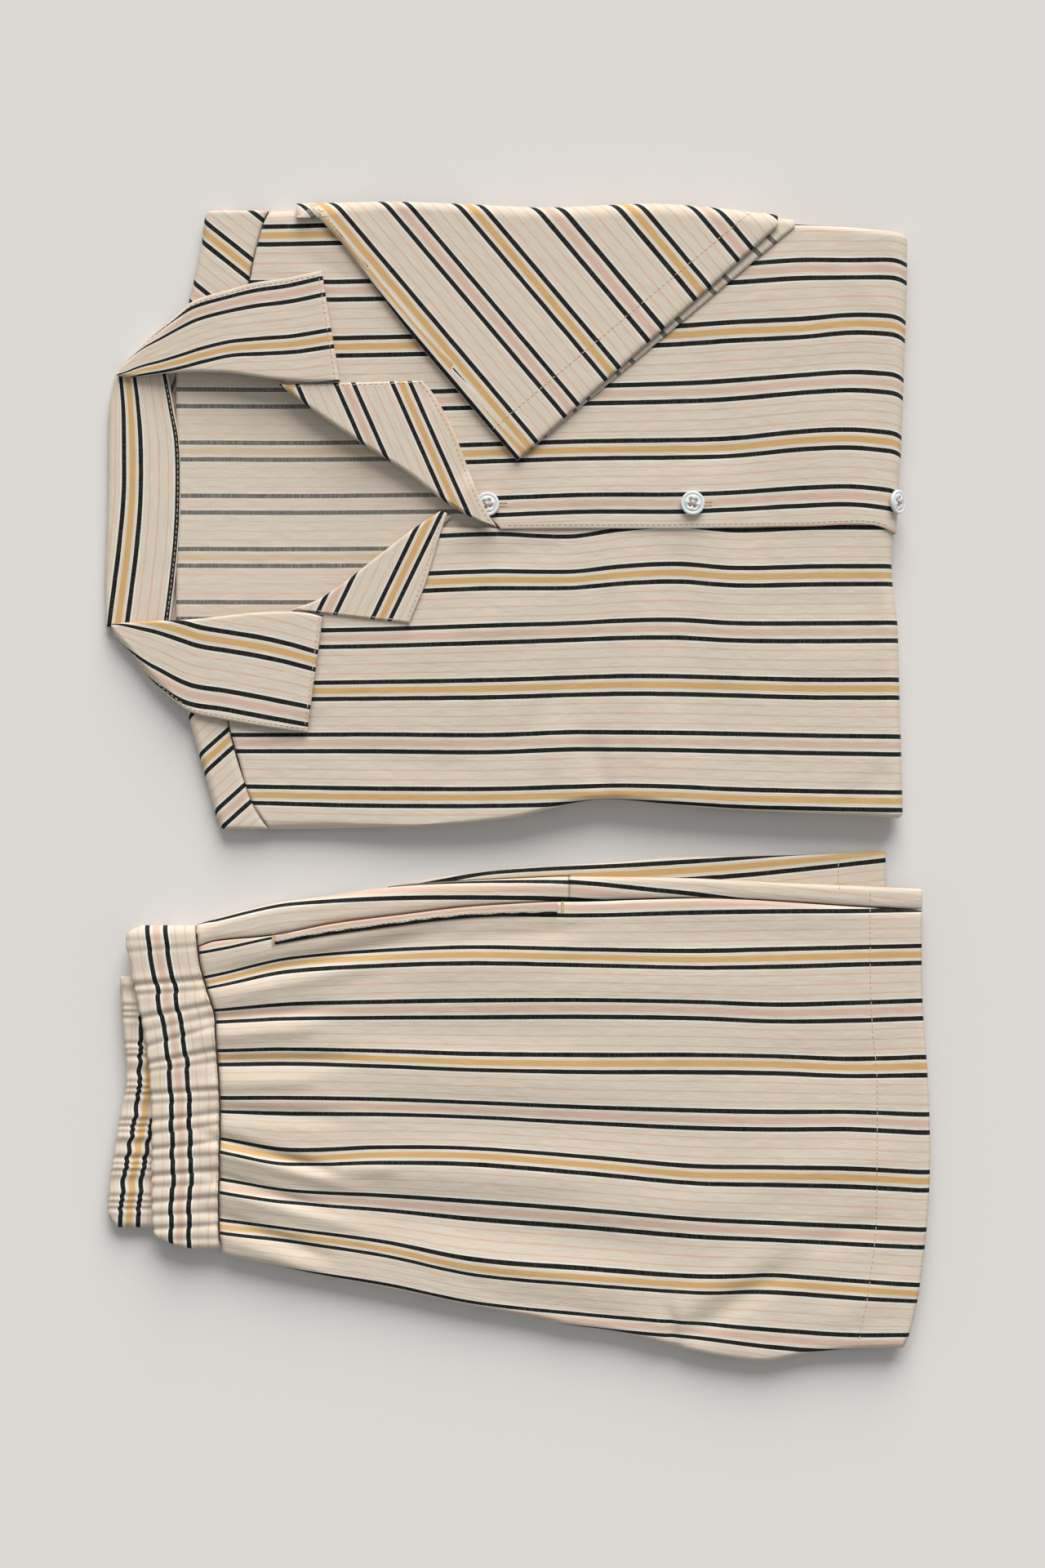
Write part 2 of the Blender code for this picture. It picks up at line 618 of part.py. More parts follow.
def build_shorts_front_left():
    """The upper leg's front: centre seam to side edge, which turns under by half the height."""
    radius = LEG_TURN / 2

    def place(column, row):
        zone, part = row
        x, y, drop = 0.0, 0.0, 0.0
        for _ in range(3):
            seam, low = read(SHORTS, "x", "seam", x), read(SHORTS, "x", "low", x)
            if zone == "limb":
                y, drop = blend(seam, low + radius, part), 0.0
            elif zone == "turn":
                ahead, drop = fold(part * math.pi * radius, radius)
                y = low + radius - ahead
            else:
                y, drop = low + radius + part * LEG_FLAP, 2 * radius
            waist = read(BAND_SEAM, "y", "x", y) + GAP + 0.4
            x = blend(waist, read(LEG_HEM, "y", "x", y), column[1])
        return Vector((x, y, SHORTS_HIGH - drop))

    cloth("shorts_front_left", run(("limb", 14)), run(("limb", 8), ("turn", 5), ("flap", 2)), place)


def build_shorts_front_right():
    """Half hidden beneath: round the folded centre front, under both legs, and up at the side."""
    big, small = SHORTS_SIDE_RADIUS, LEG_TURN / 2
    upper = 2 * big

    def place(column, row):
        x = column[1]
        zone, part = row
        top, seam, low = (read(SHORTS, "x", name, x) for name in ("top", "seam", "low"))
        below = top - big - 14.0 * smooth((x - CROTCH) / 2)
        if zone == "limb":
            return Vector((x, blend(seam + SEAM_GAP, top - big, part), upper))
        if zone == "turn":
            ahead, drop = fold(part * math.pi * big, big)
            return Vector((x, below if part == 1.0 else top - big + ahead, upper - drop))
        if zone == "under":
            return Vector((x, blend(below, low + small, part), 0.0))
        if zone == "side":
            ahead, drop = fold(part * math.pi * small, small)
            return Vector((x, low + small - ahead, drop))
        return Vector((x, low + small + LEG_FLAP * part, 2 * small))

    waist_x, last = -156.0, 8
    stations = [blend(waist_x, CROTCH, step / last) for step in range(last + 1)]
    stations += [blend(CROTCH + 2, REAR_HEM, step / 6) for step in range(7)]
    rows = run(("limb", 2), ("turn", 8), ("under", 4), ("side", 5), ("flap", 1))

    def past_crotch(column, row):
        return column[1] > CROTCH - 1 and row[0] in ("limb", "turn")

    cloth("shorts_front_right", [("x", x) for x in stations], rows, place, leave_out=past_crotch)


def build_shorts_backs():
    """The strips of the two backs that show past the inseam, each folded round its own edge."""
    small = 2.6

    def left_place(column, row):
        part_x = column[1]
        zone, part = row
        x = blend(CROTCH + 1.5, read(LEG_HEM, "y", "x", -60.0), part_x)
        top, seam = read(SHORTS, "x", "top", x), read(SHORTS, "x", "seam", x)
        start = top - small
        if zone == "limb":
            return Vector((x, blend(seam + SEAM_GAP, start, part), 2 * SHORTS_SIDE_RADIUS))
        if zone == "turn":
            ahead, drop = fold(part * math.pi * small, small)
            return Vector((x, start + ahead, 2 * SHORTS_SIDE_RADIUS - drop))
        return Vector((x, start - LEG_FLAP * part, 2 * SHORTS_SIDE_RADIUS - 2 * small))

    cloth("shorts_back_left", run(("limb", 8)), run(("limb", 2), ("turn", 5), ("flap", 2)), left_place)

    def right_place(column, row):
        zone, part = row
        x = column[1]
        top = read(REAR_LEG, "x", "top", x)
        inner = read(SHORTS, "x", "top", x) + 0.4 if x < CROTCH + 1 else -58.0
        radius = min(2.5, (top - inner) / 2)
        start = top - radius
        if zone == "limb":
            return Vector((x, blend(inner, start, part), 2 * radius))
        if zone == "turn":
            ahead, drop = fold(part * math.pi * radius, radius)
            return Vector((x, start + ahead, 2 * radius - drop))
        return Vector((x, blend(start, max(inner, start - 13.0), part), 0.0))

    stations = [REAR_LEG[0].x, 11.0, CROTCH + 0.5]
    stations += [blend(CROTCH + 4, REAR_HEM, step / 6) for step in range(7)]
    rows = run(("limb", 2), ("turn", 5), ("flap", 1))
    cloth("shorts_back_right", [("x", x) for x in stations], rows, right_place)


def build_fly():
    """The narrow stitched placket along the centre front."""
    ends = (FLY[0].x, FLY[-1].x)

    def place(column, row):
        x = blend(*ends, column[1])
        y = blend(read(SHORTS, "x", "seam", x) - 0.2, read(FLY, "x", "low", x), row[1])
        return Vector((x, y, SHORTS_HIGH + NEXT))

    cloth("shorts_fly", run(("limb", 8)), run(("limb", 1)), place)


def build_waistband_front():
    """The gathered band: over the top, round the folded centre front, and back beneath."""
    small = (BAND_HIGH - 7.0) / 2
    big = BAND_HIGH / 2
    side, front = -246.5, -76.0

    def place(column, row):
        zone, part = row
        if zone == "side_top":
            ahead, drop = fold((1 - part) * math.pi * small, small)
            y, z = side + small - ahead, BAND_HIGH - drop
        elif zone == "limb":
            y, z = blend(side + small, front - big, part), BAND_HIGH
        elif zone == "turn":
            ahead, drop = fold(part * math.pi * big, big)
            y, z = front - big + ahead, BAND_HIGH - drop
        elif zone == "under":
            y, z = blend(front - big, side + small, part), 0.0
        else:
            ahead, drop = fold(part * math.pi * small, small)
            y, z = side + small - ahead, drop
        left, right = read(BAND_EDGE, "y", "x", y), read(BAND_SEAM, "y", "x", y) - 0.2
        ripple = 0.5 * math.sin(y * 2 * math.pi / 14.0)
        return Vector((blend(left, right, column[1]) + 0.6 * ripple, y, z + (ripple - 0.5) * (z > 8)))

    rows = run(("side_top", 4), ("limb", 36), ("turn", 8), ("under", 8), ("side_low", 4))
    cloth("shorts_waistband_front", run(("limb", 2)), rows, place, wall=BAND_WALL)


BACK_BAND = table("y left", (-236, -212.0), (-229, -216.6), (-211, -215.9), (-194, -213.3),
                  (-176, -210.5), (-164, -207.9), (-150, -207.0), (-132, -208.7), (-103, -210.6))


def build_waistband_back():
    """The rear half of the band: a flattened loop inside the front half, peeking out past it."""
    radius, high, low = 3.0, 8.6, 2.6
    side, centre = -236.0, -103.0

    def place(column, row):
        zone, part = row
        if zone == "low_left":
            y, z = blend(-165.0, side + radius, part), low
        elif zone == "side":
            ahead, drop = fold(part * math.pi * radius, radius)
            y, z = side + radius - ahead, low + drop
        elif zone == "limb":
            y, z = blend(side + radius, centre - radius, part), high
        elif zone == "centre":
            ahead, drop = fold(part * math.pi * radius, radius)
            y, z = centre - radius + ahead, high - drop
        else:
            y, z = blend(centre - radius, -163.0, part), low
        left = read(BACK_BAND, "y", "left", y)
        return Vector((blend(left, left + 31.0, column[1]), y, z))

    rows = run(("low_left", 4), ("side", 6), ("limb", 12), ("centre", 6), ("low_right", 3))
    cloth("shorts_waistband_back", run(("limb", 2)), rows, place, wall=WALL)


SHORTS_CORE = table("z inset right", (1.6, 8, 190), (2.6, 7, 192), (3.9, 8, 190), (3.9, 34, 190),
                    (7.6, 34, 190), (7.6, 8, 206), (8.8, 7, 208), (9.8, 8, 206))


def build_shorts_core():
    def ring(level, around):
        x, y = round_place(-153.0, level.right, lambda x: read(SHORTS, "x", "low", x) + level.inset,
                           lambda x: read(SHORTS, "x", "top", x) - level.inset, around)
        return Vector((x, y, level.z))

    stacked("shorts_hidden_folds", SHORTS_CORE, ring, 28)


# ---- whole set --------------------------------------------------------------------------------

def main():
    for leftover in list(bpy.data.objects):
        bpy.data.objects.remove(leftover, do_unlink=True)
    build_fronts()
    build_back()
    build_facing("shirt_facing_over", LAPEL_OVER, over_height, lift_at=(-15.9, 145.8))
    build_facing("shirt_facing_under", LAPEL_UNDER, front_height)
    build_collar_back()
    build_wing("shirt_collar_wing_over", WING_OVER, over_height)
    build_wing("shirt_collar_wing_under", WING_UNDER, front_height)
    build_sleeve()
    build_head("shirt_sleeve_head_over", HEAD_OVER, 1, SHIRT_LOW + NEXT)
    build_head("shirt_sleeve_head_under", HEAD_UNDER, -1, SHIRT_LOW)
    build_shirt_core()
    build_buttons()
    build_shorts_front_left()
    build_shorts_front_right()
    build_shorts_backs()
    build_fly()
    build_waistband_front()
    build_waistband_back()
    build_shorts_core()


main()
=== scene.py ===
"""Folded pyjama set: striped cotton poplin shirt and shorts, lying flat and face up.

Each panel is one thin sheet of cloth, laid along the folds that the fixed frame's panels have, cut finer and
given its creases, gathers, stripes and stitching. Working unit: mm; a finished mesh is stored in metres.
+X runs from collar and waistband to the hems, +Y from the shorts to the shirt, Z = 0 is the table.
"""

import math
from bisect import bisect_left
from collections import namedtuple

import bmesh
import bpy
from bpy.props import FloatProperty, FloatVectorProperty, PointerProperty
from mathutils import Matrix, Vector
from mathutils.bvhtree import BVHTree


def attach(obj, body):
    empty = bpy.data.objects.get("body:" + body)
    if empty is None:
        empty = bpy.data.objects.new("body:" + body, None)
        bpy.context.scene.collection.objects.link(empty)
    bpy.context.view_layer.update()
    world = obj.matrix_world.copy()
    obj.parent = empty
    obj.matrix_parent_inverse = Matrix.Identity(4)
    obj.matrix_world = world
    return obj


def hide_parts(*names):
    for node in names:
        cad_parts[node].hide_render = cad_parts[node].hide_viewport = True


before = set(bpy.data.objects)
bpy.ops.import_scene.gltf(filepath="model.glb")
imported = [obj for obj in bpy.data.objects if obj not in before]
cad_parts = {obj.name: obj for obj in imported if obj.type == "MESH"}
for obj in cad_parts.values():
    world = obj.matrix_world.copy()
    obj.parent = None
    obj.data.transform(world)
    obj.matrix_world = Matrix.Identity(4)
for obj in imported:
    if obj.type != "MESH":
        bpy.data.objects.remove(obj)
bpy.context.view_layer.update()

bl_info = {
    "name": "Folded Pyjama Set",
    "version": (1, 0, 0),
    "blender": (4, 5, 0),
    "location": "3D View > Sidebar > Pyjamas",
    "description": "Builds a folded camp-collar pyjama shirt and its shorts from striped poplin",
    "category": "Add Mesh",
}

METRES = 0.001                 # one millimetre
WALL = 1.2                     # wall of the frame's panels
GAP = 0.3                      # clearance between the frame's panels
NEXT = WALL + GAP              # height from one layer to the next
EDGE = 0.6                     # radius of a turned and pressed edge

SHIRT_LOW = 9.0                # top of the front near the shoulders
SHIRT_HIGH = 16.5              # top of the front over the folded-up lower half
SLOPE_START, SLOPE_LENGTH = -140.0, 190.0
SIDE_TURN = 6.5                # height of one folded side edge
LOWER_HALF_END = -70.0         # where the folded-under lower half stops
SIDE_FLAP = 25.0               # cloth folded in along each side edge
ROLL = 1.6                     # radius of the collar's roll line
FACING_ROLL = 2.4              # radius where a facing turns round the front's neck edge

SHORTS_HIGH = 11.5             # top of the upper leg
LEG_TURN = 5.5                 # height of one leg's folded edge
BAND_HIGH = 13.0               # top of the gathered waistband

PITCH = 30.0                   # from one stripe group's middle to the next on flat cloth


# ---- tables and curves ------------------------------------------------------------------------

class Table:
    """Short table with named columns. A smooth curve runs through its rows, against the first column."""

    def __init__(self, columns, *rows):
        names = columns.split()
        row_type = namedtuple("Row", names)
        self.rows = [row_type(*row) for row in rows]
        self.columns = dict(zip(names, zip(*rows)))
        self.keys = self.columns[names[0]]

    def at(self, place, column):
        keys, values = self.keys, self.columns[column]
        if place <= keys[0]:
            return values[0]
        if place >= keys[-1]:
            return values[-1]
        right = bisect_left(keys, place)
        left = right - 1
        span = keys[right] - keys[left]
        part = (place - keys[left]) / span
        before, after = max(left - 1, 0), min(right + 1, len(keys) - 1)
        rise_left = (values[right] - values[before]) / (keys[right] - keys[before])
        rise_right = (values[after] - values[left]) / (keys[after] - keys[left])
        square, cube = part * part, part ** 3
        return (values[left] * (2 * cube - 3 * square + 1) + rise_left * span * (cube - 2 * square + part)
                + values[right] * (3 * square - 2 * cube) + rise_right * span * (cube - square))


def smooth(value):
    """0 to 1 with level ends."""
    value = min(max(value, 0.0), 1.0)
    return value * value * (3 - 2 * value)


def blend(first, last, part):
    return first + (last - first) * part


def run(*zones):
    """Sample places along a strip: (zone name, fraction) for zones given as (name, steps)."""
    places = []
    for name, steps in zones:
        first = 0 if not places else 1
        places += [(name, step / steps) for step in range(first, steps + 1)]
    return places


def fold(distance, radius):
    """How far forward and how far down cloth is, a distance past the start of its turn."""
    if distance <= 0:
        return distance, 0.0
    angle = distance / radius
    if angle <= math.pi:
        return radius * math.sin(angle), radius * (1 - math.cos(angle))
    return math.pi * radius - distance, 2 * radius


# ---- creases ----------------------------------------------------------------------------------

class Creases:
    """Soft troughs and ridges, each along its own short line, strongest at its middle."""

    def __init__(self, *rows):
        self.lines = []
        for row in Table("x1 y1 x2 y2 width height", *rows).rows:
            along = Vector((row.x2 - row.x1, row.y2 - row.y1))
            self.lines.append((row.x1, row.y1, *along.normalized(), along.length, row.width, row.height))

    def height(self, x, y):
        total = 0.0
        for x1, y1, ahead_x, ahead_y, length, width, height in self.lines:
            across = abs((x - x1) * ahead_y - (y - y1) * ahead_x)
            if across > 2.6 * width:
                continue
            part = ((x - x1) * ahead_x + (y - y1) * ahead_y) / length
            if -0.15 < part < 1.15:
                total += height * smooth(1.55 - 2.4 * abs(part - 0.5)) * math.exp(-(across / width) ** 2)
        return total


class Relief:
    """How one garment's whole stack of cloth lifts and sinks: its top creases reach down to `low`."""

    def __init__(self, top, bottom, low, high):
        self.top, self.bottom, self.low, self.high = top, bottom, low, high

    def lift(self, at):
        upper = smooth((at.z - self.low) / (self.high - self.low))
        lower = smooth((self.low - at.z) / self.low)
        lift = 0.0
        if upper > 0:
            lift += upper * self.top.height(at.x, at.y)
        if lower > 0:
            lift += lower * abs(self.bottom.height(at.x, at.y))
        return lift


SHIRT_RELIEF = Relief(
    Creases((84, 134, 88, 20, 15, -1.3), (58, 128, 66, 10, 12, 0.9), (116, 126, 110, 46, 11, 0.8),
            (150, 150, 146, 292, 17, 0.9), (104, 160, 98, 236, 14, -0.8), (187, 146, 190, 284, 7, -0.7),
            (184, 20, 188, 118, 9, -0.6), (48, -12, 38, 26, 6, -1.2), (26, -14, 20, 34, 9, 0.7),
            (-10, 6, 30, 58, 8, -0.5), (-52, -22, -16, 34, 9, -0.6), (-60, 66, 10, 92, 10, 0.6),
            (-96, 14, -20, 6, 7, -0.5), (-100, 34, -136, 16, 5, -0.6), (-118, 280, -84, 262, 6, -0.6),
            (-70, 214, -34, 200, 8, -0.5), (20, 150, 76, 158, 8, 0.5), (60, 168, 128, 176, 7, -0.4),
            (128, 214, 196, 222, 9, -0.4), (140, 60, 198, 66, 10, 0.5), (120, 92, 196, 96, 8, -0.4),
            (-40, 116, 30, 124, 7, -0.6), (170, -14, 196, 6, 7, -0.7), (196, 244, 172, 268, 7, 0.5)),
    Creases((150, 20, -50, 34, 16, 1.4), (170, 90, -30, 120, 12, 1.0), (180, 190, 10, 214, 18, 1.5),
            (90, 250, -60, 262, 10, 1.1), (60, 60, 48, 180, 14, 0.9), (140, 150, 128, 262, 10, 0.8)),
    low=4.5, high=9.0)

SHORTS_RELIEF = Relief(
    Creases((-168, -106, -40, -81, 6.0, -2.6), (-166, -115, -72, -95, 5, 1.5),
            (-170, -126, -96, -119, 3.6, -1.9),
            (-170, -135, -104, -130, 4.2, 1.5), (-166, -148, -84, -147, 4.4, -1.8),
            (-166, -160, -104, -158, 3.8, 1.2),
            (-166, -174, -92, -178, 4.2, -1.7), (-166, -186, -96, -207, 3.0, -2.5),
            (-166, -194, -84, -214, 4.4, 2.0), (-166, -206, -100, -227, 3.4, -2.2),
            (-166, -215, -80, -236, 4.8, 1.6), (-166, -226, -98, -252, 3.8, -1.8),
            (-164, -238, -108, -257, 4, 1.1),
            (-104, -206, -60, -204, 3.4, 1.2), (-60, -100, 30, -92, 8, 0.9), (-40, -84, 40, -78, 4, -0.9),
            (-108, -203, 66, -212, 9, 1.3), (-110, -222, 90, -250, 11, -1.6), (-60, -246, 60, -268, 8, 1.0),
            (-96, -150, 60, -160, 12, 0.8), (-70, -178, 120, -188, 12, -0.9), (-40, -108, 150, -106, 12, 0.8),
            (-90, -132, 40, -134, 10, -0.7), (86, -294, 148, -254, 7, -1.9), (74, -290, 128, -250, 8, 1.0),
            (84, -306, 80, -276, 3.2, -1.6), (152, -246, 196, -230, 7, -1.0), (120, -210, 206, -196, 10, 0.9),
            (20, -226, 130, -222, 9, 0.8), (110, -150, 200, -144, 9, -0.6), (-20, -272, 70, -286, 6, -0.8),
            (60, -80, 186, -84, 8, -0.7), (160, -286, 208, -262, 8, 0.8), (-130, -92, -30, -72, 4, 0.7)),
    Creases((-130, -120, 120, -140, 14, 1.6), (-120, -210, 90, -236, 12, 1.3), (150, -90, 140, -250, 12, 1.0),
            (-60, -160, 150, -186, 8, 0.9)),
    low=3.5, high=8.0)


# ---- stripes ----------------------------------------------------------------------------------
# Each gives a point's place on the flat cloth, in mm: along the stripes, and across them, where an ochre
# group's middle is at 0 and the groups follow each other at the pitch.

def straight(angle, ochre, pitch):
    """Stripes at one angle in degrees, one ochre group's middle that far from the origin."""
    ahead = Vector((math.cos(math.radians(angle)), math.sin(math.radians(angle))))

    def flat(x, y):
        across = y * ahead.x - x * ahead.y
        return x * ahead.x + y * ahead.y, (across - ochre) * PITCH / pitch

    return flat


def banded(bands, first):
    """Stripes along X through the rows of a table: each column after x is one group's middle."""
    names = [name for name in bands.columns if name != "x"]

    def flat(x, y):
        middles = [bands.at(x, name) for name in names]
        index = 0
        while index < len(middles) - 2 and y < middles[index + 1]:
            index += 1
        upper, lower = middles[index], middles[index + 1]
        return x, first - PITCH * (index + (upper - y) / (upper - lower))

    return flat


OVER_BANDS = Table("x ochre_top pink_top ochre_mid pink_mid ochre_low pink_low",
                   (-131, 288.2, 258.9, 229.0, 200.0, 171.0, 142.5),
                   (-88, 289.0, 259.0, 229.3, 200.2, 171.0, 142.5),
                   (-15, 290.0, 260.0, 230.5, 201.5, 172.9, 144.5),
                   (37, 291.0, 262.0, 232.0, 203.2, 174.2, 146.2),
                   (84, 294.0, 265.0, 234.5, 204.4, 174.8, 146.3),
                   (114, 296.0, 267.0, 236.6, 206.0, 175.7, 147.4),
                   (149, 298.5, 269.3, 238.0, 208.8, 179.1, 149.5),
                   (175, 298.5, 269.3, 240.6, 210.4, 180.1, 150.3),
                   (196, 298.5, 269.5, 239.9, 209.2, 178.4, 148.2),
                   (206, 297.0, 267.5, 237.0, 206.5, 176.0, 145.8))
UNDER_BANDS = Table("x ochre_top pink_top ochre_mid pink_low ochre_low",
                    (-140, 103.0, 75.0, 47.5, 20.3, -7.0), (-79, 104.0, 75.8, 48.1, 20.5, -8.2),
                    (-15, 106.2, 77.6, 48.9, 19.9, -8.4), (28, 106.1, 79.0, 50.1, 21.4, -7.3),
                    (54, 108.5, 80.0, 50.8, 21.2, -6.5), (84, 109.9, 80.4, 50.7, 20.9, -7.2),
                    (114, 107.7, 78.7, 49.9, 20.4, -8.7), (157, 108.4, 78.5, 48.8, 19.5, -9.7),
                    (198, 108.6, 78.9, 48.9, 18.9, -10.4))
LEG_BANDS = Table("x pink_a ochre_a pink_b ochre_b pink_c ochre_c pink_d ochre_d pink_e",
                  (-170, -87.6, -107.6, -124.2, -145.6, -171.0, -189.6, -211.4, -233.0, -253.5),
                  (-154, -84.8, -104.0, -123.3, -145.4, -171.0, -192.6, -213.9, -235.3, -256.0),
                  (-122, -78.2, -96.5, -121.5, -144.9, -171.0, -198.6, -218.9, -239.1, -261.0),
                  (-71, -70.6, -92.7, -120.6, -146.2, -171.7, -196.9, -222.5, -246.6, -268.5),
                  (-23, -66.4, -91.3, -120.0, -148.1, -173.4, -197.4, -226.2, -256.8, -278.3),
                  (37, -66.5, -92.7, -119.5, -148.9, -176.2, -202.2, -230.5, -261.9, -285.1),
                  (93, -64.5, -94.0, -120.4, -148.7, -178.2, -207.5, -235.2, -265.8, -289.7),
                  (136, -63.9, -93.1, -122.3, -149.3, -179.0, -208.1, -237.6, -265.1, -294.0),
                  (175, -63.9, -92.0, -121.5, -151.0, -178.7, -208.9, -239.6, -267.7, -296.5),
                  (212, -63.4, -91.1, -120.2, -150.2, -180.4, -210.9, -241.2, -270.3, -296.0))
STRIP_BANDS = Table("x pink ochre", (-160, -68.0, -97.0), (-129, -61.0, -90.0), (-111, -59.1, -88.0),
                    (-58, -56.8, -86.0), (7, -56.9, -86.0), (37, -58.2, -87.0), (67, -61.2, -90.0),
                    (93, -63.9, -93.0), (114, -66.7, -96.0), (150, -71.0, -100.0), (214, -78.0, -107.0))
REAR_BANDS = Table("x pink ochre", (-69, -33.5, -63.0), (-45, -29.0, -58.5), (-13, -23.2, -52.7),
                   (67, -19.0, -48.5),
                   (114, -15.9, -45.4), (157, -11.7, -41.2), (195, -7.5, -37.0))

FLY_BLACK = 0.5                # height of the fly's dark line over its stitched edge


def fly_stripes(x, y):
    """The lower dark line of a pink group follows the fly's edge, drawn up and down by its stitching."""
    pucker = 0.2 * math.sin(0.42 * x + 1.4 * math.sin(0.13 * x))
    return x, 9 * PITCH - 4.7 + y - FLY.at(x, "low") - FLY_BLACK - pucker


over_stripes = banded(OVER_BANDS, 5 * PITCH + PITCH)
under_stripes = banded(UNDER_BANDS, 4 * PITCH)
leg_stripes = banded(LEG_BANDS, 9 * PITCH)
strip_stripes = banded(STRIP_BANDS, PITCH)
rear_stripes = banded(REAR_BANDS, PITCH)
neck_stripes = straight(0, 118.9, 28.2)
lapel_over_stripes = straight(-66.1, 29.0, 27.4)
lapel_under_stripes = straight(64.1, 102.1, -27.4)
head_over_stripes = straight(-38.5, 123.9, 28.9)
head_under_stripes = straight(42.0, 118.5, 27.6)


# ---- settings that a user would change --------------------------------------------------------

def linear(hex_code):
    """Linear RGB from an sRGB hex code."""
    parts = [int(hex_code[index:index + 2], 16) / 255 for index in (0, 2, 4)]
    return [part / 12.92 if part <= 0.04045 else ((part + 0.055) / 1.055) ** 2.4 for part in parts]


def length_setting(name, description, default):
    return FloatProperty(name=name, description=description, default=default, min=0.0, unit="LENGTH",
                         precision=5)


def colour_setting(name, description, hex_code):
    return FloatVectorProperty(name=name, description=description, default=linear(hex_code), subtype="COLOR",
                               min=0.0, max=1.0)


class PYJAMA_PG_cloth(bpy.types.PropertyGroup):
    wall: length_setting("Cloth", "Thickness of one layer of poplin as it is drawn", 0.0005)
    ground: colour_setting("Ground", "Undyed warm beige of the poplin", "D2C6B5")
    border: colour_setting("Border", "Whiter threads beside each black line", "DEDACF")
    black: colour_setting("Black line", "The paired dark lines", "080A07")
    ochre: colour_setting("Ochre stripe", "Middle of every other stripe group", "C9A36C")
    pink: colour_setting("Pink stripe", "Middle of the groups between", "CDB09D")
    hairline: colour_setting("Hairline", "Thin lines between the groups", "D0AC92")


class PYJAMA_PG_trim(bpy.types.PropertyGroup):
    button_diameter: length_setting("Button", "Diameter of a shirt button", 0.0127)
    button_thickness: length_setting("Button thickness", "Height of a button at its rim", 0.0022)
    stitch: length_setting("Stitch", "Length of one topstitch", 0.0021)
    stitch_spacing: length_setting("Stitch spacing", "From one topstitch to the next", 0.0029)
    thread: length_setting("Thread", "Diameter of the sewing thread", 0.00046)
    thread_colour: colour_setting("Thread colour", "Cream cotton sewing thread", "D2B994")
    button_thread: colour_setting("Button thread", "Dusty pink thread of the buttons", "CFB2A6")
    shell: colour_setting("Shell", "Milky white of the buttons", "DFE1E1")


class PYJAMA_PG_stage(bpy.types.PropertyGroup):
    floor_side: length_setting("Floor side", "Side of the square floor", 6.0)
    camera_height: length_setting("Camera height", "Height of the camera over the floor", 1.62)
    lens: FloatProperty(name="Lens", description="Focal length in millimetres", default=70.0, min=1.0)
    key_strength: FloatProperty(name="Key light", description="Strength of the low soft light", default=4.1,
                                min=0.0)
    fill_strength: FloatProperty(name="Fill light", description="Strength of the light from all round",
                                 default=0.37, min=0.0)
    floor_colour: colour_setting("Floor", "Pale warm grey board", "DDDAD7")


# ---- materials --------------------------------------------------------------------------------

def add_node(tree, kind, inputs=None, stops=None, **settings):
    """Add a node, set its own settings and colour stops, and give each input a value or a link."""
    node = tree.nodes.new(kind)
    for name, value in settings.items():
        setattr(node, name, value)
    for name, value in (inputs or {}).items():
        if isinstance(value, bpy.types.NodeSocket):
            tree.links.new(value, node.inputs[name])
        else:
            node.inputs[name].default_value = value
    if stops:
        elements = node.color_ramp.elements
        while len(elements) < len(stops):
            elements.new(1.0)
        for element, (position, colour) in zip(elements, stops):
            element.position = position
            element.color = (*colour, 1.0)
    return node


def start_material(name):
    """A material with only its shader and output left in it."""
    material = bpy.data.materials.new(name)
    material.use_nodes = True
    shader = material.node_tree.nodes["Principled BSDF"]
    return material, material.node_tree, shader


def stripe_stops(middle, ground, border, black, hairline):
    """Colours from a stripe group's middle outwards to half way to the next, as ramp stops."""
    edges = Table("place colour", (0.0, middle), (1.45, middle), (1.85, ground), (2.7, ground), (3.0, border),
                  (3.4, border), (3.54, black), (5.92, black), (6.06, border), (6.7, border), (7.0, ground),
                  (9.2, ground), (9.4, hairline), (10.0, hairline), (10.2, ground), (14.4, ground),
                  (14.6, hairline), (15.0, hairline))
    return [(edge.place / (PITCH / 2), edge.colour) for edge in edges.rows]


def faded(colour, towards, part):
    return [blend(first, last, part) for first, last in zip(colour, towards)]


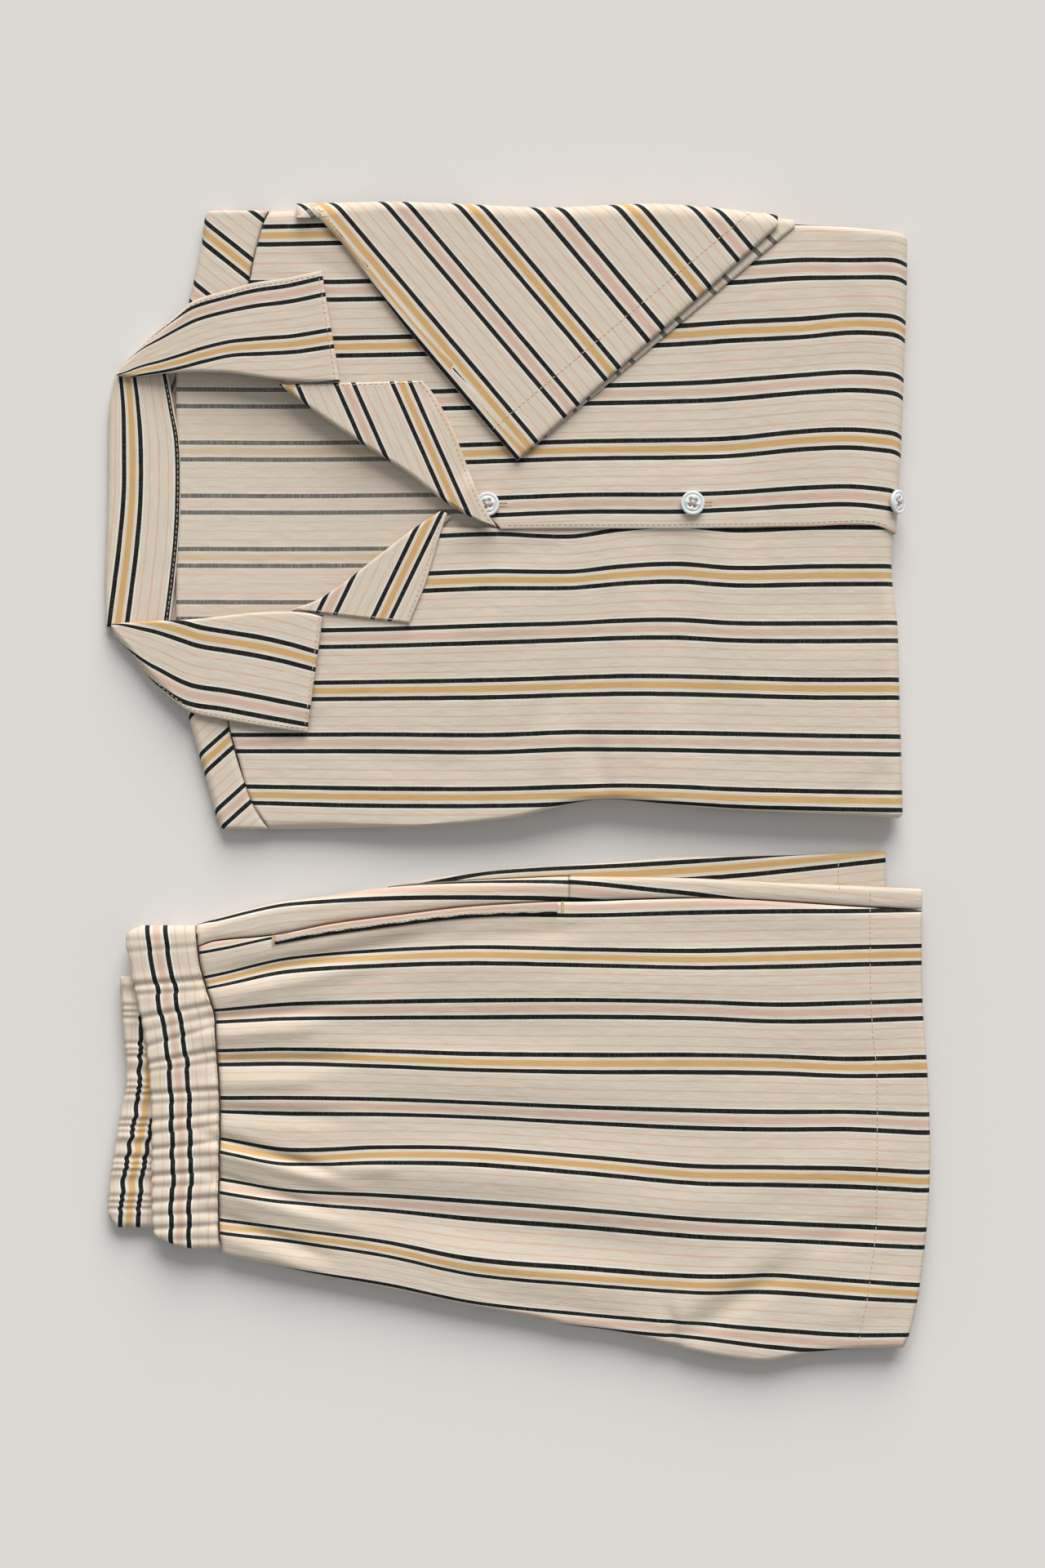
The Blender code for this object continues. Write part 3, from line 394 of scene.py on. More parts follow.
def poplin(name, fade, crumple):
    """Plain-woven cotton poplin, yarn-dyed and washed once: matt, with fine lengthwise threads, a faint sheen
    at grazing angles and soft-edged stripes. A faded one is the wrong side, its dark lines greyed by weft."""
    colours = bpy.context.scene.pyjama_cloth
    ground = list(colours.ground)
    black = faded(colours.black, ground, 0.2 * fade)
    border = faded(colours.border, ground, 0.5 * fade)
    hairline = faded(colours.hairline, ground, 0.3 + 0.3 * fade)
    ochre, pink = faded(colours.ochre, ground, 0.5 * fade), faded(colours.pink, ground, 0.8 * fade)

    material, tree, shader = start_material(name)
    flat = add_node(tree, "ShaderNodeUVMap", uv_map="Cloth").outputs["UV"]
    # yarns are 0.25 mm apart; drawn 0.8 mm apart, as fine as shows
    yarns = add_node(tree, "ShaderNodeMapping", {"Vector": flat, "Scale": (90.0, 1250.0, 1.0)})
    slubs = add_node(tree, "ShaderNodeTexNoise", {"Vector": yarns.outputs[0], "Scale": 1.0, "Detail": 2.0})
    wefts = add_node(tree, "ShaderNodeMapping", {"Vector": flat, "Scale": (1250.0, 160.0, 1.0)})
    weft = add_node(tree, "ShaderNodeTexNoise", {"Vector": wefts.outputs[0], "Scale": 1.0, "Detail": 1.0})
    place = add_node(tree, "ShaderNodeSeparateXYZ", {"Vector": flat}).outputs["Y"]
    ragged = add_node(tree, "ShaderNodeMath", {0: slubs.outputs[0], 1: 0.00035, 2: place},
                      operation="MULTIPLY_ADD")
    across = add_node(tree, "ShaderNodeMath", {0: ragged.outputs[0], 1: 0.000175}, operation="SUBTRACT")
    near = add_node(tree, "ShaderNodeMath", {0: across.outputs[0], 1: PITCH / 2 * METRES},
                    operation="PINGPONG")
    part = add_node(tree, "ShaderNodeMath", {0: near.outputs[0], 1: PITCH / 2 * METRES}, operation="DIVIDE")
    turn = add_node(tree, "ShaderNodeMath", {0: across.outputs[0], 1: PITCH * METRES}, operation="PINGPONG")
    is_pink = add_node(tree, "ShaderNodeMath", {0: turn.outputs[0], 1: PITCH / 2 * METRES},
                       operation="GREATER_THAN")
    ramps = [add_node(tree, "ShaderNodeValToRGB", {"Fac": part.outputs[0]},
                      stops=stripe_stops(middle, ground, border, black, hairline)) for middle in (ochre,
                                                                                                  pink)]
    striped = add_node(tree, "ShaderNodeMix", {"Factor": is_pink.outputs[0], 6: ramps[0].outputs[0],
                                               7: ramps[1].outputs[0]}, data_type="RGBA")
    # weft threads float over the coloured warp here and there, more on the wrong side
    mottle = add_node(tree, "ShaderNodeMapRange",
                      {"Value": weft.outputs[0], "From Min": 0.35, "From Max": 0.75,
                                                   "To Min": 0.0, "To Max": 0.04 + 0.22 * fade})
    woven = add_node(tree, "ShaderNodeMix",
                     {"Factor": mottle.outputs[0], 6: striped.outputs[2], 7: (*ground, 1.0)},
                     data_type="RGBA")
    shade = add_node(tree, "ShaderNodeMapRange",
                     {"Value": slubs.outputs[0], "From Min": 0.25, "From Max": 0.75,
                                                  "To Min": 0.93, "To Max": 1.05})
    tint = add_node(tree, "ShaderNodeMix", {"Factor": 1.0, 6: woven.outputs[2], 7: shade.outputs[0]},
                    data_type="RGBA", blend_type="MULTIPLY")
    soft = add_node(tree, "ShaderNodeMapping", {"Vector": flat, "Scale": (70.0, 150.0, 1.0)})
    rumple = add_node(tree, "ShaderNodeTexNoise", {"Vector": soft.outputs[0], "Scale": 1.0, "Detail": 3.0})
    relief = add_node(tree, "ShaderNodeMath", {0: slubs.outputs[0], 1: 0.12, 2: rumple.outputs[0]},
                      operation="MULTIPLY_ADD")
    bump = add_node(tree, "ShaderNodeBump", {"Height": relief.outputs[0], "Strength": 1.0,
                                             "Distance": crumple * METRES})
    tree.links.new(tint.outputs[2], shader.inputs["Base Color"])
    tree.links.new(bump.outputs[0], shader.inputs["Normal"])
    shader.inputs["Roughness"].default_value = 0.78
    shader.inputs["Sheen Weight"].default_value = 0.05
    shader.inputs["Sheen Roughness"].default_value = 0.45
    shader.inputs["Specular IOR Level"].default_value = 0.18
    return material


def sewing_thread(name, setting):
    """Mercerised cotton sewing thread: two plies, a little glossier than the cloth."""
    material, tree, shader = start_material(name)
    place = add_node(tree, "ShaderNodeTexCoord").outputs["Object"]
    plies = add_node(tree, "ShaderNodeTexNoise", {"Vector": place, "Scale": 1800.0, "Detail": 1.0})
    spun = list(getattr(bpy.context.scene.pyjama_trim, setting))
    dark = [0.8 * part for part in spun]
    colour = add_node(tree, "ShaderNodeValToRGB", {"Fac": plies.outputs[0]}, stops=[(0.3, dark), (0.7, spun)])
    tree.links.new(colour.outputs[0], shader.inputs["Base Color"])
    shader.inputs["Roughness"].default_value = 0.55
    shader.inputs["Sheen Weight"].default_value = 0.1
    return material


def shell_button(name):
    """Milky polyester made to look like shell: polished, with faint cloudy bands and a cool pearl glint."""
    material, tree, shader = start_material(name)
    place = add_node(tree, "ShaderNodeTexCoord").outputs["Object"]
    bands = add_node(tree, "ShaderNodeMapping", {"Vector": place, "Scale": (160.0, 420.0, 160.0),
                                                 "Rotation": (0.0, 0.0, 0.6)})
    cloud = add_node(tree, "ShaderNodeTexNoise", {"Vector": bands.outputs[0], "Scale": 1.0, "Detail": 3.0,
                                                  "Distortion": 0.8})
    shell = list(bpy.context.scene.pyjama_trim.shell)
    cool = [shell[0] * 0.88, shell[1] * 0.92, shell[2] * 0.95]
    warm = [shell[0] * 0.98, shell[1] * 0.94, shell[2] * 0.92]
    colour = add_node(tree, "ShaderNodeValToRGB", {"Fac": cloud.outputs[0]},
                      stops=[(0.3, cool), (0.5, shell), (0.72, warm)])
    tree.links.new(colour.outputs[0], shader.inputs["Base Color"])
    shader.inputs["Roughness"].default_value = 0.42
    shader.inputs["Coat Weight"].default_value = 0.05
    shader.inputs["Coat Roughness"].default_value = 0.1
    shader.inputs["Subsurface Weight"].default_value = 0.15
    shader.inputs["Subsurface Scale"].default_value = 0.002
    return material


def floor_board(name):
    """Matt painted board: smooth and even, with only a trace of roller texture."""
    material, tree, shader = start_material(name)
    place = add_node(tree, "ShaderNodeTexCoord").outputs["Object"]
    roller = add_node(tree, "ShaderNodeTexNoise", {"Vector": place, "Scale": 600.0, "Detail": 2.0})
    paint = list(bpy.context.scene.pyjama_stage.floor_colour)
    darker = [0.985 * part for part in paint]
    colour = add_node(tree, "ShaderNodeValToRGB", {"Fac": roller.outputs[0]},
                      stops=[(0.3, darker), (0.7, paint)])
    tree.links.new(colour.outputs[0], shader.inputs["Base Color"])
    shader.inputs["Roughness"].default_value = 0.9
    return material


MAKERS = {
    "cotton_poplin_face": lambda name: poplin(name, 0.0, 0.35),
    "cotton_poplin_reverse": lambda name: poplin(name, 1.0, 0.35),
    "sewing_thread_cream": lambda name: sewing_thread(name, "thread_colour"),
    "sewing_thread_pink": lambda name: sewing_thread(name, "button_thread"),
    "shell_button_white": shell_button,
    "painted_board_pale": floor_board,
}


def material_named(name):
    """The material of that name, made the first time it is asked for."""
    return bpy.data.materials.get(name) or MAKERS[name](name)


# ---- objects ----------------------------------------------------------------------------------

def new_object(name, mesh_data, *materials):
    """Store a bmesh, built in mm, as a named object in metres."""
    bmesh.ops.scale(mesh_data, vec=Vector((METRES, METRES, METRES)), verts=mesh_data.verts)
    mesh = bpy.data.meshes.new(name)
    mesh_data.to_mesh(mesh)
    mesh_data.free()
    mesh.shade_smooth()
    piece = bpy.data.objects.new(name, mesh)
    bpy.context.scene.collection.objects.link(piece)
    for material in materials:
        piece.data.materials.append(material_named(material))
    return piece


SURFACES = {}                  # each built panel's outer face, for what lies on it


def cloth(name, columns, rows, place, stripes, relief, leave_out=None, wrong_side_out=False):
    """One panel: place(column, row) gives the outer face and the same point on the unfolded panel. Its
    garment's relief lifts it, stripes() tells where it lies on the flat cloth, and its wall goes inwards."""
    sheet = bmesh.new()
    across, along = len(columns) - 1, len(rows) - 1
    bmesh.ops.create_grid(sheet, x_segments=across, y_segments=along, size=0.5)
    index_of = {}
    for vertex in sheet.verts:
        index_of[vertex] = (round((vertex.co.x + 0.5) * across), round((vertex.co.y + 0.5) * along))
    if leave_out:
        gone = [face for face in sheet.faces
                if all(leave_out(columns[index_of[v][0]], rows[index_of[v][1]]) for v in face.verts)]
        bmesh.ops.delete(sheet, geom=gone, context="FACES")
    flat_of = {}
    for vertex in sheet.verts:
        column, row = index_of[vertex]
        at, unfolded = place(columns[column], rows[row])
        at.z = max(at.z + relief.lift(at), 0.0)
        vertex.co = at
        flat_of[vertex] = Vector(stripes(*unfolded)) * METRES
    sheet.normal_update()
    highest = max(sheet.faces, key=lambda face: face.calc_center_median().z)
    if highest.normal.z < 0:
        bmesh.ops.reverse_faces(sheet, faces=sheet.faces)
    layer = sheet.loops.layers.uv.new("Cloth")
    for face in sheet.faces:
        for loop in face.loops:
            loop[layer].uv = flat_of[loop.vert]
    sides = ("cotton_poplin_face", "cotton_poplin_reverse")
    SURFACES[name] = BVHTree.FromBMesh(sheet)
    piece = new_object(name, sheet, *(reversed(sides) if wrong_side_out else sides))
    thickness = piece.modifiers.new("Cloth", "SOLIDIFY")
    thickness.thickness = bpy.context.scene.pyjama_cloth.wall
    thickness.offset = -1.0
    thickness.material_offset = 1
    return piece


def declare(piece, node):
    """Attach a cloth piece to the root and hide the frame's part that it stands for."""
    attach(piece, "root")
    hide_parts(node)


# ---- shirt fronts -----------------------------------------------------------------------------

OVER_SIDE = Table("x y", (-131, 302.0), (-112, 302.2), (-96, 301.6), (-70, 300.8), (-15, 298.8),
                  (24, 296.8), (38, 296.0), (60, 297.6), (104, 297.2), (128, 294.8), (151, 293.0),
                  (176, 291.6), (206, 288.6))
UNDER_SIDE = Table("x y", (-155, -25.4), (-131, -25.4), (-82, -24.4), (-40, -22.8), (1, -18.7),
                   (28, -11.6), (48, -9.2), (83, -12.4), (119, -15.1), (181, -17.9), (198, -19.3))
FOLD_END = Table("y x", (-18, 203.7), (16, 202.8), (47, 201.9), (84, 200.9), (113, 199.5),
                 (131, 200.2), (151, 201.2), (171, 202.5), (214, 204.1), (262, 205.7), (289, 205.9))
OVER_LEFT = Table("y x", (133, -9), (138, -14), (144, -25), (150, -36), (163, -53), (178, -76),
                  (198, -106), (212, -124), (224, -148), (245, -149), (262, -142), (275, -139.3),
                  (292, -135), (302, -130.8))
UNDER_LEFT = Table("y x", (-25.4, -131), (-10, -140.7), (12, -147.4), (30, -152.3), (55, -154),
                   (80, -146), (91, -116), (95, -104), (101, -94), (113, -77), (129, -57),
                   (137, -44), (150, -25), (165, -14))
PLACKET = Table("x y", (-20, 132.8), (28, 133.0), (83, 133.0), (150, 134.0), (186, 134.8),
                (200, 130.6))
UNDER_HIDDEN = Table("x y", (-20, 134.5), (4, 135.0), (50, 158.0), (200, 160.0))


def front_height(x):
    """Top of the under front; the over front lies one layer higher."""
    return blend(SHIRT_LOW, SHIRT_HIGH, smooth((x - SLOPE_START) / SLOPE_LENGTH))


def over_height(x):
    return front_height(x) + NEXT


def flap_height(x, upper):
    """Underside of the folded-in side edge: on the lower half, then down to the table."""
    return (upper - SIDE_TURN) * smooth((x + 112) / 67)


Front = namedtuple("Front", "height far_side sign near left top bottom inset")


def front_place(front):
    """Lay one front along the top, round the end fold and back beneath, its side edge turned in."""

    def place(column, row):
        zone_u, part_u = column
        zone_v, part_v = row
        x, y = 0.0, front.near.at(0.0, "y")
        for _ in range(4):
            far = front.far_side.at(x, "y")
            upper = front.height(x)
            depth = SIDE_TURN
            if zone_u == "limb":
                depth = upper - flap_height(x, front.top)
            radius = depth / 2
            near = front.near.at(x, "y") + front.sign * EDGE
            far_start = far - front.sign * radius
            if zone_v == "limb":
                y = unfolded_y = blend(near, far_start, part_v)
                drop = 0.0
            elif zone_v == "hem":
                ahead, drop = fold((1 - part_v) * math.pi * EDGE, EDGE)
                y = near - front.sign * ahead
                unfolded_y = near - front.sign * (1 - part_v) * math.pi * EDGE
            elif zone_v == "turn":
                ahead, drop = fold(part_v * math.pi * radius, radius)
                y = far_start + front.sign * ahead
                unfolded_y = far_start + front.sign * part_v * math.pi * radius
            else:
                y, drop = far_start - front.sign * part_v * SIDE_FLAP, depth
                unfolded_y = far_start + front.sign * (math.pi * radius + part_v * SIDE_FLAP)
            bottom = front.bottom(y)
            bend = (front.top - bottom) / 2
            fold_x = FOLD_END.at(y, "x") - front.inset(y)
            straight_end = fold_x - bend
            if zone_u == "limb":
                x = unfolded_x = blend(front.left.at(y, "x"), straight_end, part_u)
            elif zone_u == "turn":
                x = straight_end + bend * math.sin(part_u * math.pi)
                unfolded_x = straight_end + part_u * math.pi * bend
            else:
                x = blend(straight_end, LOWER_HALF_END, part_u)
                unfolded_x = straight_end + math.pi * bend + straight_end - x
        unfolded = (unfolded_x, unfolded_y)
        if zone_u == "limb":
            return Vector((x, y, front.height(x) - drop)), unfolded
        if zone_u == "turn":
            angle = part_u * math.pi
            reach = bend - drop
            at = Vector((straight_end + reach * math.sin(angle), y, bottom + bend + reach * math.cos(angle)))
            return at, unfolded
        return Vector((x, y, bottom + drop)), unfolded

    return place


def under_overlap(y):
    """0 where the under front shows, 1 where it runs inside the over front's placket."""
    return smooth((y - 80) / 30)


# ---- facings: the two lapels ------------------------------------------------------------------

LAPEL_OVER = Table("t roll_x roll_y edge_x edge_y flap", (0.0, -126, 209.6, -50, 211.0, 14),
                   (0.2, -107, 195.4, -43, 202.0, 14), (0.4, -81.5, 177.9, -34, 185.0, 14),
                   (0.6, -58.5, 163.1, -26.5, 166.0, 12), (0.8, -40, 148.6, -20.2, 150.0, 8),
                   (0.9, -29, 141.6, -15.5, 140.5, 5), (1.0, -20, 137.2, -11.0, 133.6, 3))
LAPEL_UNDER = Table("t roll_x roll_y edge_x edge_y flap", (0.0, -119.5, 90.8, -57, 83.4, 14),
                    (0.2, -106, 96.0, -53.5, 92.0, 14), (0.4, -92, 105.0, -49, 103.0, 14),
                    (0.6, -74, 119.0, -44.8, 116.5, 12), (0.8, -57, 132.0, -41, 129.5, 9),
                    (1.0, -41, 142.6, -37.0, 141.2, 5))
BUTTON_LIFT = 2.9              # the over lapel rides over the top button
TOP_BUTTON = (-15.9, 145.8)
EDGE_DROOP = 0.7               # how far a sewn edge sinks onto what it lies on


def edge_droop(distance):
    """How far cloth sinks, this near its sewn edge."""
    return EDGE_DROOP * (1 - smooth(distance / 2.2))


def facing_place(rows, base_height, lift_at=None):
    """A lapel lying on its front, turned round the neck edge and in beneath it."""

    def place(column, row):
        t = column[1]
        zone, part = row
        roll = Vector((rows.at(t, "roll_x"), rows.at(t, "roll_y"), 0))
        edge = Vector((rows.at(t, "edge_x"), rows.at(t, "edge_y"), 0))
        out = (edge - roll).normalized()
        start = roll + out * FACING_ROLL
        pressed = edge - out * EDGE
        drop = edge_droop(t * 110)
        if zone == "hem":
            ahead, drop = fold((1 - part) * math.pi * EDGE, EDGE)
            at, unfolded = pressed + out * ahead, pressed + out * (1 - part) * math.pi * EDGE
        elif zone == "edge":
            at = unfolded = pressed.lerp(start, part)
        elif zone == "turn":
            ahead, turn_drop = fold(part * math.pi * FACING_ROLL, FACING_ROLL)
            at, unfolded = start - out * ahead, start - out * part * math.pi * FACING_ROLL
            drop = max(drop, turn_drop)
        else:
            reach = rows.at(t, "flap") * part
            at, unfolded = start + out * reach, start - out * (math.pi * FACING_ROLL + reach)
            drop = 2 * FACING_ROLL
        at, flat_x, flat_y = at.copy(), unfolded.x, unfolded.y
        at.z = base_height(at.x) + NEXT + GAP / 2 - drop
        if lift_at and zone in ("edge", "hem"):
            away = math.hypot(at.x - lift_at[0], at.y - lift_at[1])
            at.z += BUTTON_LIFT * smooth(2.0 - away / 11.0)
        return at, (flat_x, flat_y)

    return place


# ---- back and collar --------------------------------------------------------------------------

BACK = Table("x low high top", (-181, 80, 221, 3.2), (-168, 76, 224, 3.0), (-155, 66, 234, 2.6),
             (-140, 50, 248, 1.5), (-120, 14, 262, 1.3), (-100, 14, 262, 2.2), (-84, 14, 262, 3.8),
             (-70, 14, 262, 5.4), (-50, 14, 262, 7.8), (-30, 14, 262, 10.2), (-12, 14, 262, 12.0))
# The last two columns say where an ochre group's middle and the next group's first black line lie.
COLLAR_BACK = Table("y seam fold ochre black", (82, -184.6, -218.5, -211.8, -186.8),
                    (107, -181.6, -218.9, -208.5, -183.6), (128, -179.8, -218.1, -206.0, -181.5),
                    (153, -178.7, -217.4, -204.1, -180.4), (180, -179.4, -217.2, -204.1, -181.0),
                    (199, -182.4, -216.5, -205.0, -184.3), (217, -185.6, -213.0, -206.8, -187.6))
BLACK_PLACE = 25.2             # from an ochre group's middle to the next group's first black line
COLLAR_HEIGHT = 6.2            # top of the collar's back fold
COLLAR_SEAM_HEIGHT = 4.0
FALL_END = -176.0              # hidden edge of the collar's fall, beneath the back


def back_place(column, row):
    x = blend(BACK.rows[0].x, BACK.rows[-1].x, column[1])
    y = blend(BACK.at(x, "low"), BACK.at(x, "high"), row[1])
    return Vector((x, y, BACK.at(x, "top"))), (x, y)


def collar_back_place(column, row):
    """The stand shows inside the neck, turns at its outer fold and lies back beneath."""
    radius = COLLAR_HEIGHT / 2
    y = blend(COLLAR_BACK.rows[0].y, COLLAR_BACK.rows[-1].y, column[1])
    zone, part = row
    start = COLLAR_BACK.at(y, "fold") + radius
    if zone == "stand":
        x = blend(COLLAR_BACK.at(y, "seam"), start, part)
        return Vector((x, y, blend(COLLAR_SEAM_HEIGHT, COLLAR_HEIGHT, smooth(part)))), (x, y)
    if zone == "turn":
        ahead, drop = fold(part * math.pi * radius, radius)
        return Vector((start - ahead, y, COLLAR_HEIGHT - drop)), (start - part * math.pi * radius, y)
    x = blend(start, FALL_END, part)
    return Vector((x, y, 0.0)), (start - math.pi * radius - (x - start), y)


def collar_back_stripes(x, y):
    ochre, black = COLLAR_BACK.at(y, "ochre"), COLLAR_BACK.at(y, "black")
    return y, BLACK_PLACE * (x - ochre) / (black - ochre)


# The last two columns say how far from roll to edge the wing's ochre and pink groups lie.
WING_OVER = Table("t roll_x roll_y edge_x edge_y under ochre pink",
                  (0.00, -212.0, 214.4, -208.0, 221.5, 27, -0.10, 1.10),
                  (0.08, -203.4, 213.8, -198.5, 231.0, 21, 0.12, 0.95),
                  (0.20, -190, 215.2, -188, 240.3, 13, 0.14, 0.85),
                  (0.32, -176, 216.0, -177.5, 249.0, 6, 0.18, 0.82),
                  (0.42, -165, 216.0, -170.0, 254.0, 2, 0.23, 0.816),
                  (0.55, -150, 215.2, -155.0, 258.4, 1.5, 0.296, 0.829),
                  (0.70, -133, 212.8, -139.0, 262.8, 1.5, 0.33, 0.835),
                  (0.85, -115, 210.8, -121.5, 265.4, 1.5, 0.36, 0.845),
                  (1.00, -93.6, 210.8, -103.2, 269.2, 1.5, 0.389, 0.858))
WING_UNDER = Table("t roll_x roll_y edge_x edge_y under ochre pink",
                   (0.00, -215.0, 83.4, -213.5, 77.5, 27, -0.30, 1.60),
                   (0.08, -205.0, 84.2, -204.3, 67.0, 21, -0.06, 1.10),
                   (0.20, -190, 85.0, -192.0, 51.6, 12, 0.06, 0.87),
                   (0.32, -177, 85.4, -181.5, 42.6, 5, 0.14, 0.84),
                   (0.42, -166, 86.2, -172.5, 36.6, 2, 0.20, 0.82),
                   (0.55, -150, 88.0, -157.0, 33.0, 1.5, 0.26, 0.815),
                   (0.70, -134, 89.4, -141.0, 30.2, 1.5, 0.31, 0.83),
                   (0.85, -118, 89.6, -126.0, 27.8, 1.5, 0.355, 0.845),
                   (1.00, -102.6, 87.8, -111.0, 26.0, 1.5, 0.393, 0.862))
WING_TIP_HEIGHT = 9.6          # top of the wing where it joins the collar's back fold
WING_FLAP = 16.0               # stand beneath the wing, along the roll line
WING_LENGTH = 125.0


def wing_place(rows, base_height):
    """The collar's fall on the front: rolled at the neck, turned under past the shoulder."""
    neck_end = rows.rows[0].roll_x

    def wing_height(x):
        shoulder = base_height(max(x, -150)) + 2 * GAP + 2 * ROLL
        return blend(shoulder, WING_TIP_HEIGHT, smooth((-150 - x) / (-150 - neck_end)))

    def place(column, row):
        t = column[1]
        zone, part = row
        roll = Vector((rows.at(t, "roll_x"), rows.at(t, "roll_y"), 0))
        edge = Vector((rows.at(t, "edge_x"), rows.at(t, "edge_y"), 0))
        under = rows.at(t, "under")
        out = (edge - roll).normalized()
        width = (edge - roll).length
        turn_radius = wing_height(edge.x) / 2 if under > 3 else ROLL
        flat_end = width - turn_radius * math.sin(min(under / turn_radius, math.pi / 2))
        under = min(under, math.pi * turn_radius + max(flat_end - 1.5, 0.0))
        flap_room = max(min(WING_FLAP, flat_end - turn_radius - ROLL - 3), 1.0)
        drop = edge_droop((1 - t) * WING_LENGTH)
        if zone == "flap":
            reach = flap_room * (1 - part)
            at, unfolded = roll + out * (ROLL + reach), ROLL - math.pi * ROLL - reach
            drop = 2 * ROLL
        elif zone == "roll":
            ahead, roll_drop = fold((1 - part) * math.pi * ROLL, ROLL)
            at, unfolded = roll + out * (ROLL - ahead), ROLL - (1 - part) * math.pi * ROLL
            drop = max(drop, roll_drop)
        elif zone == "limb":
            unfolded = blend(ROLL, flat_end, part)
            at = roll + out * unfolded
        else:
            ahead, turn_drop = fold(part * under, turn_radius)
            at, unfolded = roll + out * (flat_end + ahead), flat_end + part * under
            drop = max(drop, turn_drop)
        at.z = max(wing_height(at.x) - drop, 0.0)
        return at, (t, unfolded / width)

    return place


def wing_stripes(rows):
    def flat(t, part):
        ochre, pink = rows.at(t, "ochre"), rows.at(t, "pink")
        return t * WING_LENGTH, PITCH * (part - ochre) / (pink - ochre)

    return flat


# ---- sleeves ----------------------------------------------------------------------------------

SLEEVE = Table("t edge_x edge_y top_x top_y turned tuck hem",
               (0.0, -109.5, 302.0, -104.0, 306.0, 80, 1, 0), (0.12, -92, 283.0, -68.5, 306.0, 95, 1, 0),
               (0.3, -74.5, 259.5, -24, 304.4, 120, 1, 0), (0.5, -54, 232.6, 23, 302.2, 180, 16, 0),
               (0.75, -27.1, 200.3, 84, 304.0, 180, 20, 0), (1.0, -0.2, 168.4, 144.5, 298.4, 180, 20, 9))
SLEEVE_BANDS = Table("away across", (-1.0, -10.4), (9.4, 0), (38.6, 30), (67.4, 60), (97.9, 90), (130.9, 120),
                     (160.9, 150),
                     (193.9, 182))
SLEEVE_TIP = Vector((-0.2, 168.4))
SLEEVE_AHEAD = Vector((0.643, -0.766))     # along the lower edge, towards the hem
INNER_SHIFT = 5.0              # the lower layer's stripes sit this far from the upper layer's


def side_radius(x):
    """Radius of the over front's folded side edge."""
    return (over_height(x) - flap_height(x, SHIRT_HIGH + NEXT)) / 2


def sleeve_place(column, row):
    """Two flat layers, open at the hem, that lie on the front and wrap its side edge."""
    t = column[1]
    zone, part = row
    edge = Vector((SLEEVE.at(t, "edge_x"), SLEEVE.at(t, "edge_y"), 0))
    top = Vector((SLEEVE.at(t, "top_x"), SLEEVE.at(t, "top_y"), 0))
    turned, tuck = math.radians(SLEEVE.at(t, "turned")), SLEEVE.at(t, "tuck")
    out = (top - edge).normalized()
    inner_radius = side_radius(top.x) + 2 * GAP
    outer_radius = inner_radius + 2 * ROLL
    start = top - out * (outer_radius / max(out.y, 0.3))
    level = "inner" if zone.startswith("inner") else "outer"
    if level == "outer":
        part = 1 - part
    if zone == "roll":
        ahead, drop = fold((1 - part) * math.pi * ROLL, ROLL)
        at, unfolded = edge + out * (ROLL - ahead), edge + out * (ROLL - (1 - part) * math.pi * ROLL)
        level = "inner" if part < 0.5 else "outer"
        if level == "inner":
            unfolded = edge
    else:
        at, drop = (edge + out * ROLL).lerp(start, part), 2 * ROLL * (level == "inner")
        unfolded = at.copy()
    if zone.endswith("wrap") or zone.endswith("tuck"):
        radius = outer_radius if level == "outer" else inner_radius
        wrapped = part if zone.endswith("wrap") else 1.0
        further_in = tuck * part if zone.endswith("tuck") else 0.0
        distance = wrapped * turned * radius + further_in
        ahead, further = fold(distance, radius)
        at, drop = start + Vector((0, ahead, 0)), drop + further
        unfolded = start + Vector((0, distance, 0))
    if level == "inner":
        at.x += SLEEVE.at(t, "hem") * (part if zone == "inner" else 1.0) * (zone != "roll")
    droop = edge_droop((1 - t) * 164)
    at.z = over_height(at.x) + 2 * GAP + 2 * ROLL - drop - (droop if level == "outer" else 0.0)
    return at, (unfolded.x, unfolded.y, level == "inner")


def sleeve_stripes(x, y, inner):
    from_tip = Vector((x, y)) - SLEEVE_TIP
    away = from_tip.x * -SLEEVE_AHEAD.y + from_tip.y * SLEEVE_AHEAD.x
    across = SLEEVE_BANDS.at(away, "across") if away > 5.5 else away - 5.5
    return from_tip.dot(SLEEVE_AHEAD), across - INNER_SHIFT * inner


HEAD_OVER = Table("y seam fold", (248, -147.0, -175.6), (262, -142.3, -172.2), (275, -139.7, -169.4),
                  (285, -137.0, -167.3), (296, -133.9, -166.1), (301.8, -131.3, -165.0))
HEAD_UNDER = Table("y seam fold", (-25.2, -131.5, -157.4), (-16, -137.1, -160.5),
                   (5, -146.0, -166.3), (27, -152.2, -172.6), (38, -154.2, -175.2))
HEAD_FLAP = 14.0
HEAD_TURN = 2.0                # radius of a sleeve head's side edge


